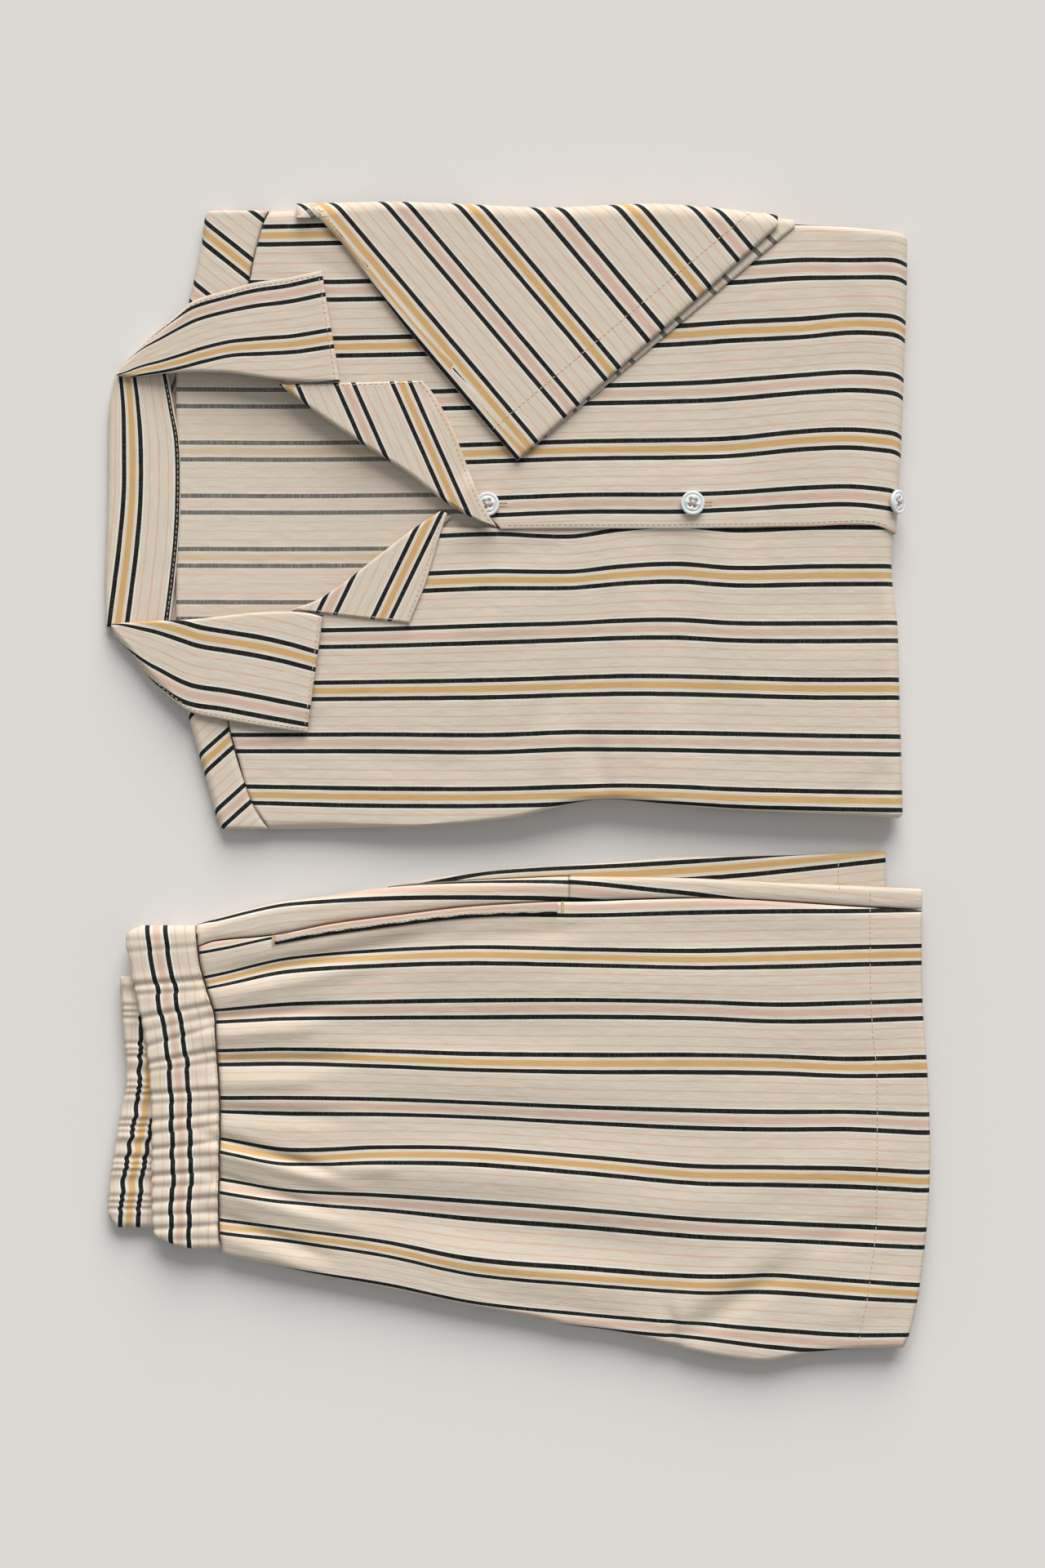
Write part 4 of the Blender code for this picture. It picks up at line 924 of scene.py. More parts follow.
def head_place(rows, sign, upper):
    """The top of a sleeve beside its armhole seam, turned under along its left and side edges."""
    hidden_end, side_end = (rows.keys[0], rows.keys[-1]) if sign > 0 else (rows.keys[-1], rows.keys[0])
    bend = upper / 2

    def place(column, row):
        zone_u, part_u = column
        zone_v, part_v = row
        start_y = side_end - sign * HEAD_TURN
        if zone_v == "limb":
            y, drop = blend(hidden_end, start_y, part_v), 0.0
            unfolded_y = y
        elif zone_v == "turn":
            ahead, drop = fold(part_v * math.pi * HEAD_TURN, HEAD_TURN)
            y, unfolded_y = start_y + sign * ahead, start_y + sign * part_v * math.pi * HEAD_TURN
        else:
            y, drop = start_y - sign * part_v * HEAD_FLAP, 2 * HEAD_TURN
            unfolded_y = start_y + sign * (math.pi * HEAD_TURN + part_v * HEAD_FLAP)
        seam, outer = rows.at(y, "seam") - GAP, rows.at(y, "fold")
        centre = outer + bend
        if zone_u == "limb":
            x = blend(seam, centre, part_u)
            sink = EDGE_DROOP * (1 - smooth(abs(x - seam) / 3.0))
            return Vector((x, y, upper - drop - sink)), (x, unfolded_y)
        if zone_u == "turn":
            angle = part_u * math.pi
            reach = bend - drop
            at = Vector((centre - reach * math.sin(angle), y, bend + reach * math.cos(angle)))
            return at, (centre - angle * bend, unfolded_y)
        return Vector((centre + part_u * HEAD_FLAP, y, drop)), (centre - math.pi * bend - part_u * HEAD_FLAP,
                                                                unfolded_y)

    return place


# ---- shorts -----------------------------------------------------------------------------------

SHORTS = Table("x top seam low", (-170, -75.8, -88.0, -247.0), (-160, -72.5, -84.5, -248.8),
               (-128, -64.2, -81.2, -255.5),
               (-98, -60.1, -75.2, -262.0), (-63, -55.4, -70.6, -268.8), (-28, -52.6, -66.4, -276.2),
               (10, -50.8, -64.0, -283.2), (27, -50.2, -63.4, -287.0), (54, -50.4, -62.8, -290.8),
               (94, -51.2, -61.8, -301.0), (120, -52.4, -62.4, -305.4), (134, -53.3, -63.2, -305.8),
               (155, -54.2, -64.6, -301.6), (180, -55.2, -66.3, -299.6), (214, -56.8, -68.2, -298.8))
REAR_LEG = Table("x top", (-69, -55.6), (-45, -51.2), (-13, -47.2), (-5, -46.3), (25, -44.3), (54, -42.6),
                 (81, -40.2), (134, -39.3),
                 (170, -38.3), (195, -37.0))
LEG_HEM = Table("y x", (-299, 203.4), (-292, 206.7), (-276, 210.7), (-266, 212.4), (-237, 215.9),
                (-207, 217.7), (-176, 217.5), (-146, 215.9), (-124, 214.2), (-95, 213.4), (-57, 213.7))
BAND_SEAM = Table("y x", (-249, -156.6), (-234, -158.0), (-203, -157.7), (-167, -157.5),
                  (-141, -159.2), (-122, -160.5), (-108, -164.9), (-95, -168.2), (-72, -170.4))
BAND_EDGE = Table("y x", (-248, -170.0), (-241, -189.0), (-236, -192.2), (-202, -193.1),
                  (-180, -193.1), (-160, -193.9), (-141, -195.7), (-125, -198.7), (-111, -201.7),
                  (-97, -204.3), (-80, -206.1), (-75, -197.0))
FLY = Table("x low", (-128, -86.0), (-102, -81.4), (-73, -77.4), (-43, -73.6), (-19, -71.6),
            (21, -70.4))
SEAM_GAP = 0.8                 # between the panels that meet along the curved centre seam
CROTCH = 27.0                  # where the centre-front seam meets the inseam
REAR_HEM = 195.0
LEG_FLAP = 25.0
SHORTS_WAIST = -156.0
SHORTS_SIDE_RADIUS = 5.6       # the right front's turn round the folded centre front
BACK_TURN = 2.6                # radius of the left back's folded edge
SEAM_SINK = 0.8                # how far the cloth dips into a seam
FLY_STITCH = 2.4               # from the fly's lower edge to its stitching
PLACKET_STITCH = 2.1           # from the placket's edge to its topstitching
FLY_RAISE = 0.9                # the fly's edge stands this far above the front


def seam_dip(distance):
    """How far a panel dips beside its seam, this far from it."""
    return SEAM_SINK * (1 - smooth(distance / 4.0))


def front_left_place(column, row):
    """The upper leg's front: centre seam to side edge, which turns under by half the height."""
    radius = LEG_TURN / 2
    zone, part = row
    x, y, drop = 0.0, 0.0, 0.0
    for _ in range(3):
        seam, low = SHORTS.at(x, "seam"), SHORTS.at(x, "low")
        if zone == "limb":
            y = unfolded = blend(seam, low + radius, part)
            drop = seam_dip(seam - y)
        elif zone == "turn":
            ahead, drop = fold(part * math.pi * radius, radius)
            y, unfolded = low + radius - ahead, low + radius - part * math.pi * radius
        else:
            y, drop = low + radius + part * LEG_FLAP, 2 * radius
            unfolded = low + radius - math.pi * radius - part * LEG_FLAP
        waist, hem = BAND_SEAM.at(y, "x") + GAP + 0.4, LEG_HEM.at(y, "x")
        x = blend(waist, hem, column[1])
    drop = min(drop + seam_dip(x - waist) + edge_droop(hem - x) * (zone == "limb"), 2 * radius)
    return Vector((x, y, SHORTS_HIGH - drop)), (x, unfolded)


def front_right_place(column, row):
    """Half hidden beneath: round the folded centre front, under both legs, and up at the side."""
    big, small = SHORTS_SIDE_RADIUS, LEG_TURN / 2
    upper = 2 * big
    zone, part = row
    x = column[1]
    top, seam, low = (SHORTS.at(x, name) for name in ("top", "seam", "low"))
    if x < CROTCH:
        y = {"limb": seam, "turn": top, "under": blend(top, low, part)}.get(zone, low)
        waist = BAND_SEAM.at(y, "x") + GAP + 0.4
        x = blend(waist, CROTCH, (x - SHORTS_WAIST) / (CROTCH - SHORTS_WAIST))
        top, seam, low = (SHORTS.at(x, name) for name in ("top", "seam", "low"))
    below = top - big - 14.0 * smooth((x - CROTCH) / 2)
    round_end = top - big + math.pi * big
    if zone == "limb":
        y = blend(seam + SEAM_GAP, top - big, part)
        return Vector((x, y, upper - seam_dip(y - seam))), (x, y)
    if zone == "turn":
        ahead, drop = fold(part * math.pi * big, big)
        return Vector((x, below if part == 1.0 else top - big + ahead,
                       upper - drop)), (x, top - big + part * math.pi * big)
    if zone == "under":
        y = blend(below, low + small, part)
        return Vector((x, y, 0.0)), (x, round_end + below - y)
    lower_end = round_end + below - (low + small)
    if zone == "side":
        ahead, drop = fold(part * math.pi * small, small)
        return Vector((x, low + small - ahead, drop)), (x, lower_end + part * math.pi * small)
    return Vector((x, low + small + LEG_FLAP * part,
                   2 * small)), (x, lower_end + math.pi * small + LEG_FLAP * part)


def back_left_place(column, row):
    """The strip of the left back that shows past the inseam, folded round its own edge."""
    zone, part = row
    x = blend(CROTCH + 0.2, LEG_HEM.at(-60.0, "x"), column[1])
    top, seam = SHORTS.at(x, "top"), SHORTS.at(x, "seam")
    start = top - BACK_TURN
    level = 2 * SHORTS_SIDE_RADIUS
    if zone == "limb":
        y = blend(seam + SEAM_GAP, start, part)
        return Vector((x, y, level - seam_dip(y - seam))), (x, y)
    if zone == "turn":
        ahead, drop = fold(part * math.pi * BACK_TURN, BACK_TURN)
        return Vector((x, start + ahead, level - drop)), (x, start + part * math.pi * BACK_TURN)
    y = start - LEG_FLAP * part
    return Vector((x, y, level - 2 * BACK_TURN)), (x, start + math.pi * BACK_TURN + LEG_FLAP * part)


def back_right_place(column, row):
    """The strip of the right back, low down, that shows behind the upper leg."""
    zone, part = row
    x = column[1]
    top = REAR_LEG.at(x, "top")
    inner = SHORTS.at(x, "top") + 0.4 if x < CROTCH + 1 else -58.0
    radius = max(min(2.5, (top - inner) / 2), 0.3)
    start = top - radius
    if zone == "limb":
        y = blend(inner, start, part)
        return Vector((x, y, 2 * radius)), (x, y)
    if zone == "turn":
        ahead, drop = fold(part * math.pi * radius, radius)
        return Vector((x, start + ahead, 2 * radius - drop)), (x, start + part * math.pi * radius)
    y = blend(start, max(inner, start - 13.0), part)
    return Vector((x, y, 0.0)), (x, start + math.pi * radius + start - y)


def fly_place(column, row):
    """The narrow stitched placket along the centre front, its lower edge pressed down by its stitching."""
    x = blend(FLY.keys[0], FLY.keys[-1], column[1])
    zone, part = row
    upper, lower = SHORTS.at(x, "seam") - 0.2, FLY.at(x, "low")
    height = SHORTS_HIGH + NEXT
    if zone == "hem":
        ahead, drop = fold((1 - part) * math.pi * EDGE, EDGE)
        y = upper - EDGE + ahead
        return Vector((x, y, height - drop)), (x, y)
    y = blend(upper - EDGE, lower, part)
    return Vector((x, y, height - FLY_RAISE * smooth((part - 0.55) / 0.45))), (x, y)


# Where each gather crosses the waistband at its left and right edge, how deep it is, and how far it
# shifts a stripe.
GATHERS = Table("left right depth shift", (-84, -82, 0.3, 0.1), (-90, -87, 0.5, -0.3),
                (-107.5, -104.5, 1.6, 0.7),
                (-112.5, -110, 0.7, -0.8), (-124.7, -117.8, 1.4, 0.8), (-132, -124, 0.5, -0.3),
                (-139.8, -129.5, 1.0, -0.7), (-148.8, -141.9, 1.5, 0.8), (-153, -148, 0.7, -0.7),
                (-164.9, -162.5, 1.5, 0.6), (-170, -168, 0.6, -0.4), (-179, -175, 1.2, -0.6),
                (-186, -181, 0.9, 0.7), (-194, -190, 1.3, -0.5), (-199.5, -197, 0.8, 0.6),
                (-208, -205, 1.5, 0.7), (-214, -212, 0.7, -0.7), (-222, -219, 1.3, -0.4),
                (-229, -227, 0.9, 0.6), (-236, -234, 1.2, -0.5), (-242, -241, 0.6, 0.3))
BAND_STRIPE = Table("y pink", (-245, -178.0), (-225, -177.8), (-199, -177.0), (-173, -177.6), (-147, -179.2),
                    (-135, -180.9), (-122, -183.6), (-109, -185.4), (-96, -188.1), (-76, -191.0))
GATHER_DEPTH = 0.7             # all of the gathers together, deeper or shallower
GATHER_WIDTH = 1.5             # half width of one gather's trough
PUFF = 0.5                     # how far the cloth puffs up between gathers


def gathered(y, part):
    """Depth of the waistband's gathers at one place, and how far they move its stripes along X."""
    depth, shift = 0.0, 0.0
    for gather in GATHERS.rows:
        away = y - blend(gather.left, gather.right, part)
        if abs(away) < 12:
            depth += GATHER_DEPTH * gather.depth * math.exp(-(away / GATHER_WIDTH) ** 2)
            depth -= PUFF * GATHER_DEPTH * gather.depth * math.exp(-((away - 3.2) / 2.4) ** 2)
        if away < 0:
            shift += gather.shift * (1 - math.exp(away / 0.5))
    return depth, shift


def band_front_place(column, row):
    """The gathered band: over the top, round the folded centre front, and back beneath."""
    small = (BAND_HIGH - 7.0) / 2
    big = BAND_HIGH / 2
    side, front = -246.5, -76.0
    zone, part = row
    if zone == "side_top":
        ahead, drop = fold((1 - part) * math.pi * small, small)
        y, z, along = side + small - ahead, BAND_HIGH - drop, side + small - (1 - part) * math.pi * small
    elif zone == "limb":
        y, z = blend(side + small, front - big, part), BAND_HIGH
        along = y
    elif zone == "turn":
        ahead, drop = fold(part * math.pi * big, big)
        y, z, along = front - big + ahead, BAND_HIGH - drop, front - big + part * math.pi * big
    elif zone == "under":
        y, z = blend(front - big, side + small, part), 0.0
        along = front - big + math.pi * big + (front - big - y)
    else:
        ahead, drop = fold(part * math.pi * small, small)
        y, z, along = side + small - ahead, drop, front
    left, right = BAND_EDGE.at(y, "x"), BAND_SEAM.at(y, "x") - 0.2
    depth, shift = gathered(y, column[1])
    ruffle = 0.35 * depth * (2 * column[1] - 1)
    x = blend(left, right, column[1]) - ruffle
    upper = smooth((z - 6) / 5)
    rounded = 0.9 * (abs(2 * column[1] - 1) ** 6)
    if zone == "under":
        z += 0.8 * abs(depth) * 0.5
    return Vector((x, y, z - upper * (depth + rounded))), (along, x - shift, y)


def band_stripes(along, x, y):
    return along, (x - BAND_STRIPE.at(y, "pink")) + PITCH


BACK_BAND = Table("y left ochre", (-236, -212.0, -205.5), (-229, -216.6, -205.2), (-211, -215.9, -203.6),
                  (-194, -213.3, -200.6), (-176, -210.5, -197.4), (-164, -207.9, -195.6),
                  (-150, -207.0, -195.0),
                  (-132, -208.7, -194.4), (-103, -210.6, -193.5))
BACK_BAND_WIDTH = 31.0


def band_back_place(column, row):
    """The rear half of the band: a flattened loop inside the front half, peeking out past it."""
    radius, high, low = 3.0, 8.6, 2.6
    side, centre = -236.0, -103.0
    zone, part = row
    if zone == "low_left":
        y, z = blend(-165.0, side + radius, part), low
    elif zone == "side":
        ahead, drop = fold(part * math.pi * radius, radius)
        y, z = side + radius - ahead, low + drop
    elif zone == "limb":
        y, z = blend(side + radius, centre - radius, part), high
    elif zone == "centre":
        ahead, drop = fold(part * math.pi * radius, radius)
        y, z = centre - radius + ahead, high - drop
    else:
        y, z = blend(centre - radius, -163.0, part), low
    left = BACK_BAND.at(y, "left")
    ripple = (0.36 * math.sin(1.25 * y + 2.6 * math.sin(0.31 * y))
              + 0.3 * math.sin(0.57 * y + 1.9 * math.sin(0.13 * y)))
    ripple *= zone != "low_left"
    x = blend(left, left + BACK_BAND_WIDTH, column[1])
    rounded = 0.8 * (abs(2 * column[1] - 1) ** 6)
    lift = (ripple - 0.5) * smooth((z - 5) / 3)
    return Vector((x + 0.5 * ripple * (1 - column[1]), y,
                   z + lift - rounded * smooth((z - 5) / 3))), (y, x - 0.7 * ripple, y)


def band_back_stripes(along, x, y):
    return along, x - BACK_BAND.at(y, "ochre")


# ---- pieces: one operator for each group ------------------------------------------------------

def build_fronts():
    over = Front(over_height, OVER_SIDE, 1, PLACKET, OVER_LEFT, SHIRT_HIGH + NEXT,
                 lambda y: 0.0, lambda y: 0.0)
    under = Front(front_height, UNDER_SIDE, -1, UNDER_HIDDEN, UNDER_LEFT, SHIRT_HIGH,
                  lambda y: NEXT * under_overlap(y), lambda y: (NEXT + GAP) * under_overlap(y))
    columns = run(("limb", 170), ("turn", 14), ("under", 50))
    over_piece = cloth("right_front_with_placket", columns,
                       run(("hem", 5), ("limb", 78), ("turn", 12), ("flap", 5)),
                       front_place(over), over_stripes, SHIRT_RELIEF)
    declare(over_piece, "shirt_front_over")
    under_piece = cloth("left_front", columns, run(("limb", 84), ("turn", 12), ("flap", 5)),
                        front_place(under), under_stripes, SHIRT_RELIEF)
    declare(under_piece, "shirt_front_under")


def build_back():
    piece = cloth("shirt_back_panel", run(("limb", 90)), run(("limb", 110)), back_place, neck_stripes,
                  SHIRT_RELIEF, wrong_side_out=True)
    declare(piece, "shirt_back")


def build_facings():
    rows = run(("hem", 5), ("edge", 34), ("turn", 10), ("flap", 5))
    over = cloth("right_facing_lapel", run(("limb", 70)), rows,
                 facing_place(LAPEL_OVER, over_height, TOP_BUTTON),
                 lapel_over_stripes, SHIRT_RELIEF)
    declare(over, "shirt_facing_over")
    under = cloth("left_facing_lapel", run(("limb", 60)), rows, facing_place(LAPEL_UNDER, front_height),
                  lapel_under_stripes, SHIRT_RELIEF)
    declare(under, "shirt_facing_under")


def build_collar():
    back = cloth("collar_at_the_back", run(("limb", 70)), run(("stand", 26), ("turn", 10), ("fall", 12)),
                 collar_back_place, collar_back_stripes, SHIRT_RELIEF)
    declare(back, "shirt_collar_back")
    rows = run(("flap", 5), ("roll", 8), ("limb", 36), ("turn", 10))
    for name, table, height, node in (("collar_right_end", WING_OVER, over_height, "shirt_collar_wing_over"),
                                      ("collar_left_end", WING_UNDER, front_height,
                                       "shirt_collar_wing_under")):
        wing = cloth(name, run(("limb", 80)), rows, wing_place(table, height), wing_stripes(table),
                     SHIRT_RELIEF)
        declare(wing, node)


def build_sleeves():
    sections = run(("outer_tuck", 2), ("outer_wrap", 12), ("outer", 60), ("roll", 8), ("inner", 30),
                   ("inner_wrap", 10), ("inner_tuck", 2))
    sleeve = cloth("sleeve_over_the_front", run(("limb", 100)), sections, sleeve_place, sleeve_stripes,
                   SHIRT_RELIEF)
    declare(sleeve, "shirt_sleeve_over")
    columns = run(("limb", 16), ("turn", 14), ("under", 4))
    rows = run(("limb", 30), ("turn", 8), ("flap", 4))
    over = cloth("sleeve_head_right", columns, rows, head_place(HEAD_OVER, 1, SHIRT_LOW + NEXT),
                 head_over_stripes, SHIRT_RELIEF)
    declare(over, "shirt_sleeve_head_over")
    under = cloth("sleeve_head_left", columns, rows, head_place(HEAD_UNDER, -1, SHIRT_LOW),
                  head_under_stripes, SHIRT_RELIEF)
    declare(under, "shirt_sleeve_head_under")


def build_shorts_fronts():
    left = cloth("shorts_left_front", run(("limb", 180)), run(("limb", 110), ("turn", 10), ("flap", 4)),
                 front_left_place, leg_stripes, SHORTS_RELIEF)
    declare(left, "shorts_front_left")
    stations = [blend(SHORTS_WAIST, CROTCH, step / 90) for step in range(91)]
    stations += [blend(CROTCH + 2, REAR_HEM, step / 60) for step in range(61)]
    rows = run(("limb", 8), ("turn", 16), ("under", 60), ("side", 10), ("flap", 3))

    def past_crotch(column, row):
        return column[1] > CROTCH - 1 and row[0] in ("limb", "turn")

    right = cloth("shorts_right_front", [("x", x) for x in stations], rows, front_right_place, strip_stripes,
                  SHORTS_RELIEF, leave_out=past_crotch)
    declare(right, "shorts_front_right")


def build_shorts_backs():
    left = cloth("shorts_left_back", run(("limb", 90)), run(("limb", 8), ("turn", 10), ("flap", 4)),
                 back_left_place, strip_stripes, SHORTS_RELIEF)
    declare(left, "shorts_back_left")
    stations = [blend(REAR_LEG.keys[0], REAR_HEM, step / 90) for step in range(91)]
    right = cloth("shorts_right_back", [("x", x) for x in stations],
                  run(("limb", 8), ("turn", 10), ("flap", 4)),
                  back_right_place, rear_stripes, SHORTS_RELIEF)
    declare(right, "shorts_back_right")


def build_fly():
    piece = cloth("shorts_mock_fly", run(("limb", 90)), run(("hem", 4), ("limb", 6)), fly_place, fly_stripes,
                  SHORTS_RELIEF)
    declare(piece, "shorts_fly")


def build_waistband():
    rows = run(("side_top", 8), ("limb", 220), ("turn", 14), ("under", 60), ("side_low", 8))
    front = cloth("waistband_front", run(("limb", 28)), rows, band_front_place, band_stripes, SHORTS_RELIEF)
    declare(front, "shorts_waistband_front")
    rows = run(("low_left", 10), ("side", 8), ("limb", 160), ("centre", 8), ("low_right", 8))
    back = cloth("waistband_back", run(("limb", 14)), rows, band_back_place, band_back_stripes, SHORTS_RELIEF)
    declare(back, "shorts_waistband_back")


# ---- folded layers inside, seen only at their edges --------------------------------------------

CORE_END = 188.0
CORNER_POWER = 6.0             # how square the rounded corners are
SHIRT_LAYERS = Table("low high left inset_over inset_under", (3.0, 4.8, -56, 6, 6), (4.8, 7.1, -44, 34, 34),
                     (7.1, 9.2, -24, 34, 7), (9.2, 13.0, 14, 34, 34), (13.0, 14.1, 34, 6, 6))
SHORTS_LAYERS = Table("low high inset right", (1.6, 3.9, 8, 190), (3.9, 7.0, 34, 190), (7.0, 8.9, 8, 206))
LAYER = 1.1                    # one folded layer, with the air in it


def round_place(left, right, low, high, around):
    """A point on a rounded rectangle whose long sides may curve."""
    angle = around * 2 * math.pi
    wide, tall = math.cos(angle), math.sin(angle)
    size = (abs(wide) ** CORNER_POWER + abs(tall) ** CORNER_POWER) ** (1 / CORNER_POWER)
    x = blend(left, right, 0.5 + 0.5 * wide / size)
    return x, blend(low(x), high(x), 0.5 + 0.5 * tall / size)


def folded_layers(name, rows, ring_place, stripes):
    """A closed stack of layers, each with its own rounded and slightly wavy edge."""
    levels = []
    for row in rows.rows:
        count = max(round((row.high - row.low) / LAYER), 1)
        thick = (row.high - row.low) / count
        for layer in range(count):
            for part in (0.0, 0.15, 0.5, 0.85, 1.0):
                bulge = 1 - math.sqrt(max(1 - (2 * part - 1) ** 2, 0.0))
                levels.append((row, row.low + (layer + part) * thick, 0.6 * bulge, len(levels) // 5))
    around = 180
    stack = bmesh.new()
    bmesh.ops.create_grid(stack, x_segments=around, y_segments=len(levels) - 1, size=0.5)
    for vertex in stack.verts:
        step = round((vertex.co.x + 0.5) * around) % around / around
        row, z, inset, layer = levels[round((vertex.co.y + 0.5) * (len(levels) - 1))]
        wave = 0.5 * math.sin(step * 50 + layer * 2.1) + 0.4 * math.sin(step * 119 + layer)
        x, y = ring_place(row, inset + 0.9 + wave, step)
        vertex.co = (x, y, z)
    bmesh.ops.remove_doubles(stack, verts=stack.verts, dist=0.0001)
    bmesh.ops.holes_fill(stack, edges=[edge for edge in stack.edges if edge.is_boundary], sides=0)
    bmesh.ops.recalc_face_normals(stack, faces=stack.faces)
    layer = stack.loops.layers.uv.new("Cloth")
    for face in stack.faces:
        for loop in face.loops:
            loop[layer].uv = Vector(stripes(loop.vert.co.x, loop.vert.co.y)) * METRES
    return new_object(name, stack, "cotton_poplin_face")


def build_layers():
    def shirt_ring(row, inset, around):
        return round_place(row.left + inset, CORE_END - inset,
                           lambda x: UNDER_SIDE.at(x, "y") + row.inset_under + inset,
                           lambda x: OVER_SIDE.at(x, "y") - row.inset_over - inset, around)

    def shorts_ring(row, inset, around):
        return round_place(-153.0 + inset, row.right - inset,
                           lambda x: SHORTS.at(x, "low") + row.inset + inset,
                           lambda x: SHORTS.at(x, "top") - row.inset - inset, around)

    shirt = folded_layers("shirt_folded_layers", SHIRT_LAYERS, shirt_ring, under_stripes)
    declare(shirt, "shirt_hidden_folds")
    shorts = folded_layers("shorts_folded_layers", SHORTS_LAYERS, shorts_ring, leg_stripes)
    declare(shorts, "shorts_hidden_folds")


# ---- stitching --------------------------------------------------------------------------------

def walk(points, spacing):
    """Evenly spaced places along a line of points, each with the direction there."""
    places, left_over = [], 0.0
    for first, last in zip(points, points[1:]):
        span = last - first
        ahead = span.normalized()
        distance = left_over
        while distance < span.length:
            places.append((first + ahead * distance, ahead))
            distance += spacing
        left_over = distance - span.length
    return places


def resting_place(surfaces, at):
    """Highest point and its normal straight below, on the named panels."""
    hits = []
    for surface in surfaces:
        place, normal, _, _ = SURFACES[surface].ray_cast(Vector((at.x, at.y, 60.0)), Vector((0, 0, -1)))
        if place:
            hits.append((place.z, place, normal))
    if not hits:
        return None, None
    _, place, normal = max(hits, key=lambda hit: hit[0])
    return place, normal if normal.z > 0 else -normal


def sew(name, surfaces, lines, length=None, spacing=None, across=False):
    """Stitches lying on panels along each line: small flattened spindles, turned across it for a bar."""
    trim = bpy.context.scene.pyjama_trim
    length, spacing = length or trim.stitch / METRES, spacing or trim.stitch_spacing / METRES
    radius = trim.thread / METRES / 2
    seam = bmesh.new()
    for line in lines:
        for index, (at, ahead) in enumerate(walk(line, spacing)):
            place, normal = resting_place(surfaces, at)
            if place is None:
                continue
            ahead = Vector((ahead.x, ahead.y, 0.0))
            if across:
                ahead = Vector((-ahead.y, ahead.x, 0.0))
            ahead = (ahead - normal * ahead.dot(normal)).normalized()
            side = normal.cross(ahead)
            size = length * (1.0 + 0.08 * math.sin(index * 2.3))
            turned = Matrix((ahead, side, normal)).transposed().to_4x4()
            matrix = Matrix.Translation(place + normal * radius * 0.35) @ turned @ Matrix.Diagonal(
                (size / 2, radius, radius * 0.8, 1.0))
            bmesh.ops.create_uvsphere(seam, u_segments=6, v_segments=6, radius=1.0,
                                      matrix=matrix @ Matrix.Rotation(math.pi / 2, 4, "Y"))
    piece = new_object(name, seam, "sewing_thread_cream")
    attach(piece, "root")
    return piece


def edge_line(rows, first, last, inside, end):
    """Line a little inside a collar end's or lapel's outer edge, then inside its straight end at `end`."""
    def at(t, share_in):
        roll = Vector((rows.at(t, "roll_x"), rows.at(t, "roll_y"), 0))
        edge = Vector((rows.at(t, "edge_x"), rows.at(t, "edge_y"), 0))
        width = (edge - roll).length
        return edge.lerp(roll, blend(inside / width, 1 - 1.0 / width, share_in))

    along = [at(blend(first, last, step / 24), 0.0) for step in range(25)]
    return [along, [at(end, step / 8) for step in range(9)]]


HEM_LINE = Table("y x", (-299, 179.1), (-273.4, 184.4), (-264.8, 185.7), (-235.9, 189.2), (-204.3, 189.6),
                 (-154.8, 189.6), (-125.8, 187.0), (-86.3, 186.1), (-57.0, 186.3))


def build_stitching():
    sew("collar_topstitching", ("collar_right_end", "collar_left_end"),
        edge_line(WING_OVER, 0.1, 0.984, 2.0, 0.984) + edge_line(WING_UNDER, 0.1, 0.984, 2.0, 0.984))
    sew("lapel_topstitching", ("right_facing_lapel", "left_facing_lapel"),
        edge_line(LAPEL_OVER, 0.02, 0.97, 2.0, 0.02) + edge_line(LAPEL_UNDER, 0.025, 0.97, 2.0, 0.025))
    placket = [Vector((x, PLACKET.at(x, "y") + PLACKET_STITCH, 0)) for x in range(-4, 199, 6)]
    sew("placket_topstitching", ("right_front_with_placket",), [placket])
    neck = [Vector((COLLAR_BACK.at(y, "black") + 0.2, y, 0)) for y in range(86, 213, 6)]
    sew("neck_seam_stitching", ("collar_at_the_back",), [neck])
    across = Vector((-SLEEVE_AHEAD.y, SLEEVE_AHEAD.x, 0))
    start = Vector((*SLEEVE_TIP, 0)) - Vector((*SLEEVE_AHEAD, 0)) * 21.0
    sew("sleeve_hem_stitching", ("sleeve_over_the_front",), [[start + across * 2, start + across * 184]])
    hem = [Vector((HEM_LINE.at(y, "x"), y, 0)) for y in range(-299, -58, 6)]
    rear = [Vector((170.0, y, 0)) for y in range(-56, -37, 4)]
    sew("leg_hem_stitching", ("shorts_left_front", "shorts_left_back", "shorts_right_back"), [hem, rear])
    fly = [Vector((x, FLY.at(x, "low") + FLY_STITCH, 0)) for x in range(-128, 16, 6)]
    waist = [Vector((BAND_SEAM.at(y, "x") - 1.0, y, 0)) for y in range(-244, -80, 5)]
    sew("waist_seam_stitching", ("waistband_front",), [waist], spacing=2.4)
    sew("fly_stitching", ("shorts_mock_fly", "shorts_left_front"), [fly])
    bars = [[Vector((-129.0, -87.0, 0)), Vector((-129.0, -80.0, 0))],
            [Vector((23.7, -69.5, 0)), Vector((23.7, -62.5, 0))]]
    sew("bartacks", ("shorts_mock_fly", "shorts_left_front", "shorts_right_front"), bars, 1.7, 0.4,
        across=True)


# ---- buttons and buttonholes ------------------------------------------------------------------

BUTTON_HOLE = 1.6
BUTTON_HOLE_CIRCLE = 1.9       # radius of the circle that the four holes stand on
STRAND = 0.24                  # radius of one strand of thread across the middle
HOLE_THREAD = 0.62             # radius of the thread that fills a hole
RECESS = 0.28                  # the middle lies this far below the rim
INNER_DISC = 4.6               # radius of the flat middle, which runs a little under the rim
BUTTON_ROW = Table("name x y", ("button_top", -15.9, 145.8), ("button_middle", 92.0, 146.2))
END_BUTTON_Y = 147.1
END_BUTTON_ANGLE = 50.0
BUTTONHOLE_START, BUTTONHOLE_END = 1.0, 10.6    # from the button's middle along the placket
BUTTONHOLE_HALF = 0.85         # from the slit to each row of its stitches


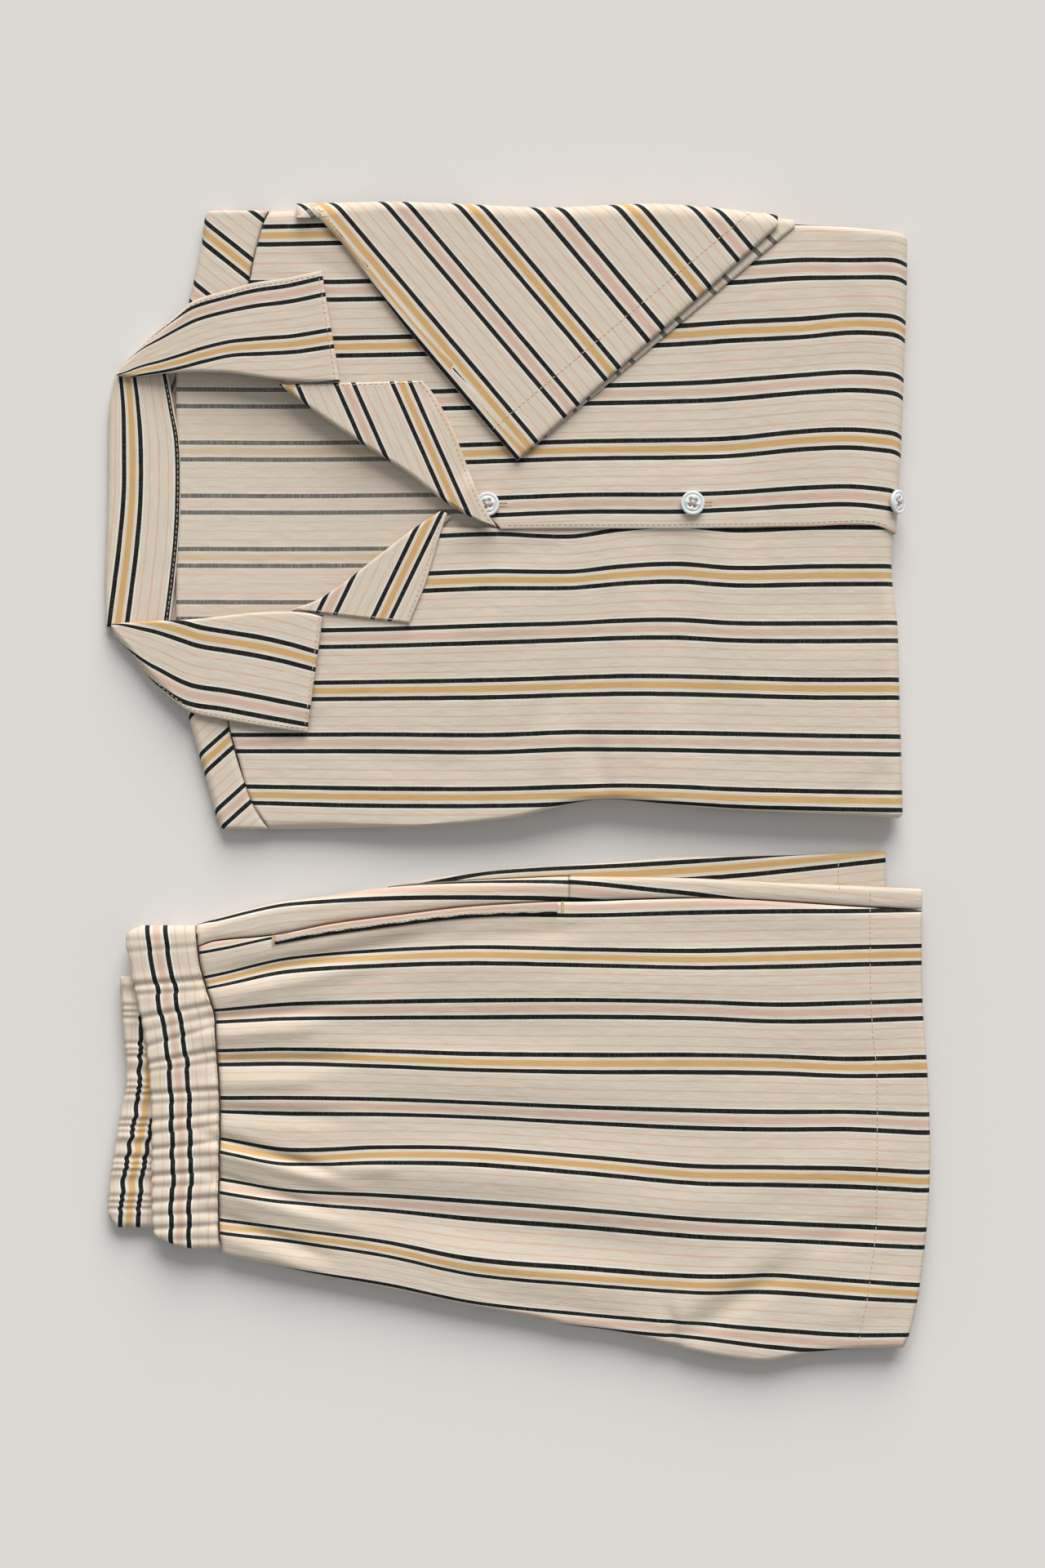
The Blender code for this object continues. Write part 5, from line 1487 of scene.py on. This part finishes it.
def button_shape(shape, radius, half):
    """A flat middle with four holes, and a smooth raised rim round it."""
    outline = bmesh.ops.create_circle(shape, segments=64, radius=INNER_DISC)["verts"]
    for corner in range(4):
        turned = Matrix.Rotation(math.pi / 4 + corner * math.pi / 2, 4, "Z")
        shift = Matrix.Translation((BUTTON_HOLE_CIRCLE, 0, 0))
        outline += bmesh.ops.create_circle(shape, segments=20, radius=BUTTON_HOLE / 2,
                                           matrix=turned @ shift)["verts"]
    bmesh.ops.translate(shape, verts=outline, vec=(0, 0, half - RECESS))
    middle = bmesh.ops.triangle_fill(shape, edges=list(shape.edges), use_beauty=True)
    faces = [part for part in middle["geom"] if isinstance(part, bmesh.types.BMFace)]
    walls = bmesh.ops.extrude_face_region(shape, geom=faces, use_keep_orig=True)
    moved = [part for part in walls["geom"] if isinstance(part, bmesh.types.BMVert)]
    bmesh.ops.translate(shape, verts=moved, vec=(0, 0, RECESS - 2 * half + 0.25))
    profile = ((radius - 2.4, half - 0.7), (radius - 2.2, half - 0.42), (radius - 1.5, half - 0.16),
               (radius - 0.9, half), (radius - 0.4, half - 0.08), (radius - 0.08, half - 0.4), (radius, -0.1),
               (radius - 0.12, -half + 0.5), (radius - 0.5, -half + 0.15), (radius - 1.2, -half),
               (radius - 2.4, -half + 0.1))
    corners = [shape.verts.new((distance, 0.0, z)) for distance, z in profile]
    rim = [shape.edges.new(pair) for pair in zip(corners, corners[1:] + corners[:1])]
    bmesh.ops.spin(shape, geom=corners + rim, cent=(0, 0, 0), axis=(0, 0, 1), angle=2 * math.pi, steps=64,
                   use_merge=True)
    bmesh.ops.recalc_face_normals(shape, faces=shape.faces)


def build_button(name, centre, tilt, turn):
    trim = bpy.context.scene.pyjama_trim
    radius, half = trim.button_diameter / METRES / 2, trim.button_thickness / METRES / 2
    into_place = Matrix.Translation(centre) @ Matrix.Rotation(tilt, 4, "Y") @ Matrix.Rotation(turn, 4, "Z")
    shape = bmesh.new()
    button_shape(shape, radius, half)
    bmesh.ops.transform(shape, matrix=into_place, verts=shape.verts)
    piece = new_object(name + "_shell", shape, "shell_button_white")
    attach(piece, "root")
    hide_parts(name)
    thread = bmesh.new()
    for strand in range(4):
        lying = Matrix.Rotation((math.pi / 4) * (1 if strand < 2 else 3), 4, "Z")
        beside = Matrix.Translation((0, 0.2 * (1 if strand % 2 else -1),
                                     half - RECESS + 0.2 + 0.15 * (strand > 1)))
        bmesh.ops.create_cone(thread, cap_ends=True, segments=10, radius1=STRAND, radius2=STRAND,
                              depth=2 * BUTTON_HOLE_CIRCLE + 0.4,
                              matrix=lying @ beside @ Matrix.Rotation(math.pi / 2, 4, "Y"))
    for hole in range(4):
        spot = Matrix.Rotation(math.pi / 4 + hole * math.pi / 2, 4, "Z") @ Matrix.Translation(
            (BUTTON_HOLE_CIRCLE, 0, -0.25))
        bmesh.ops.create_cone(thread, cap_ends=True, segments=10, radius1=HOLE_THREAD, radius2=HOLE_THREAD,
                              depth=2 * half - 0.6,
                              matrix=spot)
    bmesh.ops.transform(thread, matrix=into_place, verts=thread.verts)
    sewn = new_object(name + "_thread", thread, "sewing_thread_pink")
    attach(sewn, "root")


def build_buttons():
    lift = 2 * GAP + bpy.context.scene.pyjama_trim.button_thickness / METRES / 2
    for spot, turn in zip(BUTTON_ROW.rows, (0.3, -0.2)):
        build_button(spot.name, Vector((spot.x, spot.y, over_height(spot.x) + lift)), 0.0, turn)
    bend = (SHIRT_HIGH + NEXT) / 2
    angle = math.radians(END_BUTTON_ANGLE)
    reach = bend + lift
    centre = Vector((FOLD_END.at(END_BUTTON_Y, "x") - bend + reach * math.sin(angle), END_BUTTON_Y,
                     bend + reach * math.cos(angle)))
    build_button("button_end", centre, angle, 0.5)
    edges = []
    for spot in BUTTON_ROW.rows:
        for side in (-BUTTONHOLE_HALF, BUTTONHOLE_HALF):
            edges.append([Vector((spot.x + BUTTONHOLE_START, spot.y + side, 0)),
                          Vector((spot.x + BUTTONHOLE_END, spot.y + side, 0))])
    sew("buttonholes", ("right_front_with_placket",), edges, 1.3, 0.42, across=True)


# ---- stage ------------------------------------------------------------------------------------

def build_stage():
    settings = bpy.context.scene.pyjama_stage
    plane = bmesh.new()
    bmesh.ops.create_grid(plane, x_segments=1, y_segments=1, size=settings.floor_side / 2 / METRES)
    bmesh.ops.translate(plane, verts=plane.verts, vec=(0, 0, -0.1))
    floor = new_object("floor_board", plane, "painted_board_pale")

    camera = bpy.data.objects.new("camera", bpy.data.cameras.new("camera"))
    camera.data.lens = settings.lens
    camera.data.sensor_width = 36.0
    camera.location = (0.0026, -0.0013, settings.camera_height)
    bpy.context.scene.collection.objects.link(camera)
    bpy.context.scene.camera = camera

    lamp = bpy.data.lights.new("soft_window", "SUN")
    lamp.energy = settings.key_strength
    lamp.angle = math.radians(44)
    lamp.color = (1.0, 0.985, 0.965)
    key = bpy.data.objects.new("soft_window", lamp)
    key.location = (0.4, 2.9, 1.6)
    key.rotation_euler = (-key.location).to_track_quat("-Z", "Y").to_euler()
    bpy.context.scene.collection.objects.link(key)

    world = bpy.data.worlds.new("studio")
    world.use_nodes = True
    world.node_tree.nodes["Background"].inputs["Color"].default_value = (0.97, 0.985, 1.0, 1.0)
    world.node_tree.nodes["Background"].inputs["Strength"].default_value = settings.fill_strength
    bpy.context.scene.world = world
    bpy.context.scene.view_settings.view_transform = "Standard"


# ---- operators and panel ----------------------------------------------------------------------

class PYJAMA_OT_fronts(bpy.types.Operator):
    """Build both shirt fronts, round the end fold and back beneath"""
    bl_idname = "pyjama.fronts"
    bl_label = "Shirt fronts"

    def execute(self, context):
        build_fronts()
        return {"FINISHED"}


class PYJAMA_OT_back(bpy.types.Operator):
    """Build the shirt's back, which shows its wrong side inside the neck"""
    bl_idname = "pyjama.back"
    bl_label = "Shirt back"

    def execute(self, context):
        build_back()
        return {"FINISHED"}


class PYJAMA_OT_lapels(bpy.types.Operator):
    """Build the two facings, turned out as lapels"""
    bl_idname = "pyjama.lapels"
    bl_label = "Lapels"

    def execute(self, context):
        build_facings()
        return {"FINISHED"}


class PYJAMA_OT_collar(bpy.types.Operator):
    """Build the collar: its stand at the back of the neck and both of its ends"""
    bl_idname = "pyjama.collar"
    bl_label = "Collar"

    def execute(self, context):
        build_collar()
        return {"FINISHED"}


class PYJAMA_OT_sleeves(bpy.types.Operator):
    """Build the sleeve over the front and the tops of both sleeves"""
    bl_idname = "pyjama.sleeves"
    bl_label = "Sleeves"

    def execute(self, context):
        build_sleeves()
        return {"FINISHED"}


class PYJAMA_OT_legs(bpy.types.Operator):
    """Build the shorts' fronts and backs"""
    bl_idname = "pyjama.legs"
    bl_label = "Shorts legs"

    def execute(self, context):
        build_shorts_fronts()
        build_shorts_backs()
        return {"FINISHED"}


class PYJAMA_OT_fly(bpy.types.Operator):
    """Build the mock fly"""
    bl_idname = "pyjama.fly"
    bl_label = "Mock fly"

    def execute(self, context):
        build_fly()
        return {"FINISHED"}


class PYJAMA_OT_waistband(bpy.types.Operator):
    """Build the gathered waistband's front and back halves"""
    bl_idname = "pyjama.waistband"
    bl_label = "Waistband"

    def execute(self, context):
        build_waistband()
        return {"FINISHED"}


class PYJAMA_OT_layers(bpy.types.Operator):
    """Build the folded layers inside each garment, seen only at their edges"""
    bl_idname = "pyjama.layers"
    bl_label = "Folded layers"

    def execute(self, context):
        build_layers()
        return {"FINISHED"}


class PYJAMA_OT_stitching(bpy.types.Operator):
    """Sew the topstitching, hems, fly and bartacks onto the panels built before"""
    bl_idname = "pyjama.stitching"
    bl_label = "Stitching"

    def execute(self, context):
        build_stitching()
        return {"FINISHED"}


class PYJAMA_OT_buttons(bpy.types.Operator):
    """Build the buttons, their thread and the buttonholes"""
    bl_idname = "pyjama.buttons"
    bl_label = "Buttons"

    def execute(self, context):
        build_buttons()
        return {"FINISHED"}


class PYJAMA_OT_stage(bpy.types.Operator):
    """Lay the floor, set the lights and place the camera overhead"""
    bl_idname = "pyjama.stage"
    bl_label = "Stage"

    def execute(self, context):
        build_stage()
        return {"FINISHED"}


OPERATORS = (PYJAMA_OT_fronts, PYJAMA_OT_back, PYJAMA_OT_lapels, PYJAMA_OT_collar, PYJAMA_OT_sleeves,
             PYJAMA_OT_legs, PYJAMA_OT_fly, PYJAMA_OT_waistband, PYJAMA_OT_layers, PYJAMA_OT_stitching,
             PYJAMA_OT_buttons, PYJAMA_OT_stage)


class PYJAMA_PT_sidebar(bpy.types.Panel):
    """Lists the pieces in the order in which they are built"""
    bl_idname = "PYJAMA_PT_sidebar"
    bl_label = "Folded Pyjama Set"
    bl_space_type = "VIEW_3D"
    bl_region_type = "UI"
    bl_category = "Pyjamas"

    def draw(self, context):
        for group in (context.scene.pyjama_cloth, context.scene.pyjama_trim, context.scene.pyjama_stage):
            box = self.layout.box()
            for name in group.__annotations__:
                box.prop(group, name)
        for operator in OPERATORS:
            self.layout.operator(operator.bl_idname)


GROUPS = {"pyjama_cloth": PYJAMA_PG_cloth, "pyjama_trim": PYJAMA_PG_trim, "pyjama_stage": PYJAMA_PG_stage}
CLASSES = (*GROUPS.values(), *OPERATORS, PYJAMA_PT_sidebar)


def register():
    for entry in CLASSES:
        bpy.utils.register_class(entry)
    for name, group in GROUPS.items():
        setattr(bpy.types.Scene, name, PointerProperty(type=group))


def unregister():
    for name in GROUPS:
        delattr(bpy.types.Scene, name)
    for entry in reversed(CLASSES):
        bpy.utils.unregister_class(entry)


def main():
    register()
    bpy.ops.pyjama.fronts()
    bpy.ops.pyjama.back()
    bpy.ops.pyjama.lapels()
    bpy.ops.pyjama.collar()
    bpy.ops.pyjama.sleeves()
    bpy.ops.pyjama.legs()
    bpy.ops.pyjama.fly()
    bpy.ops.pyjama.waistband()
    bpy.ops.pyjama.layers()
    bpy.ops.pyjama.stitching()
    bpy.ops.pyjama.buttons()
    bpy.ops.pyjama.stage()


if __name__ == "__main__":
    main()
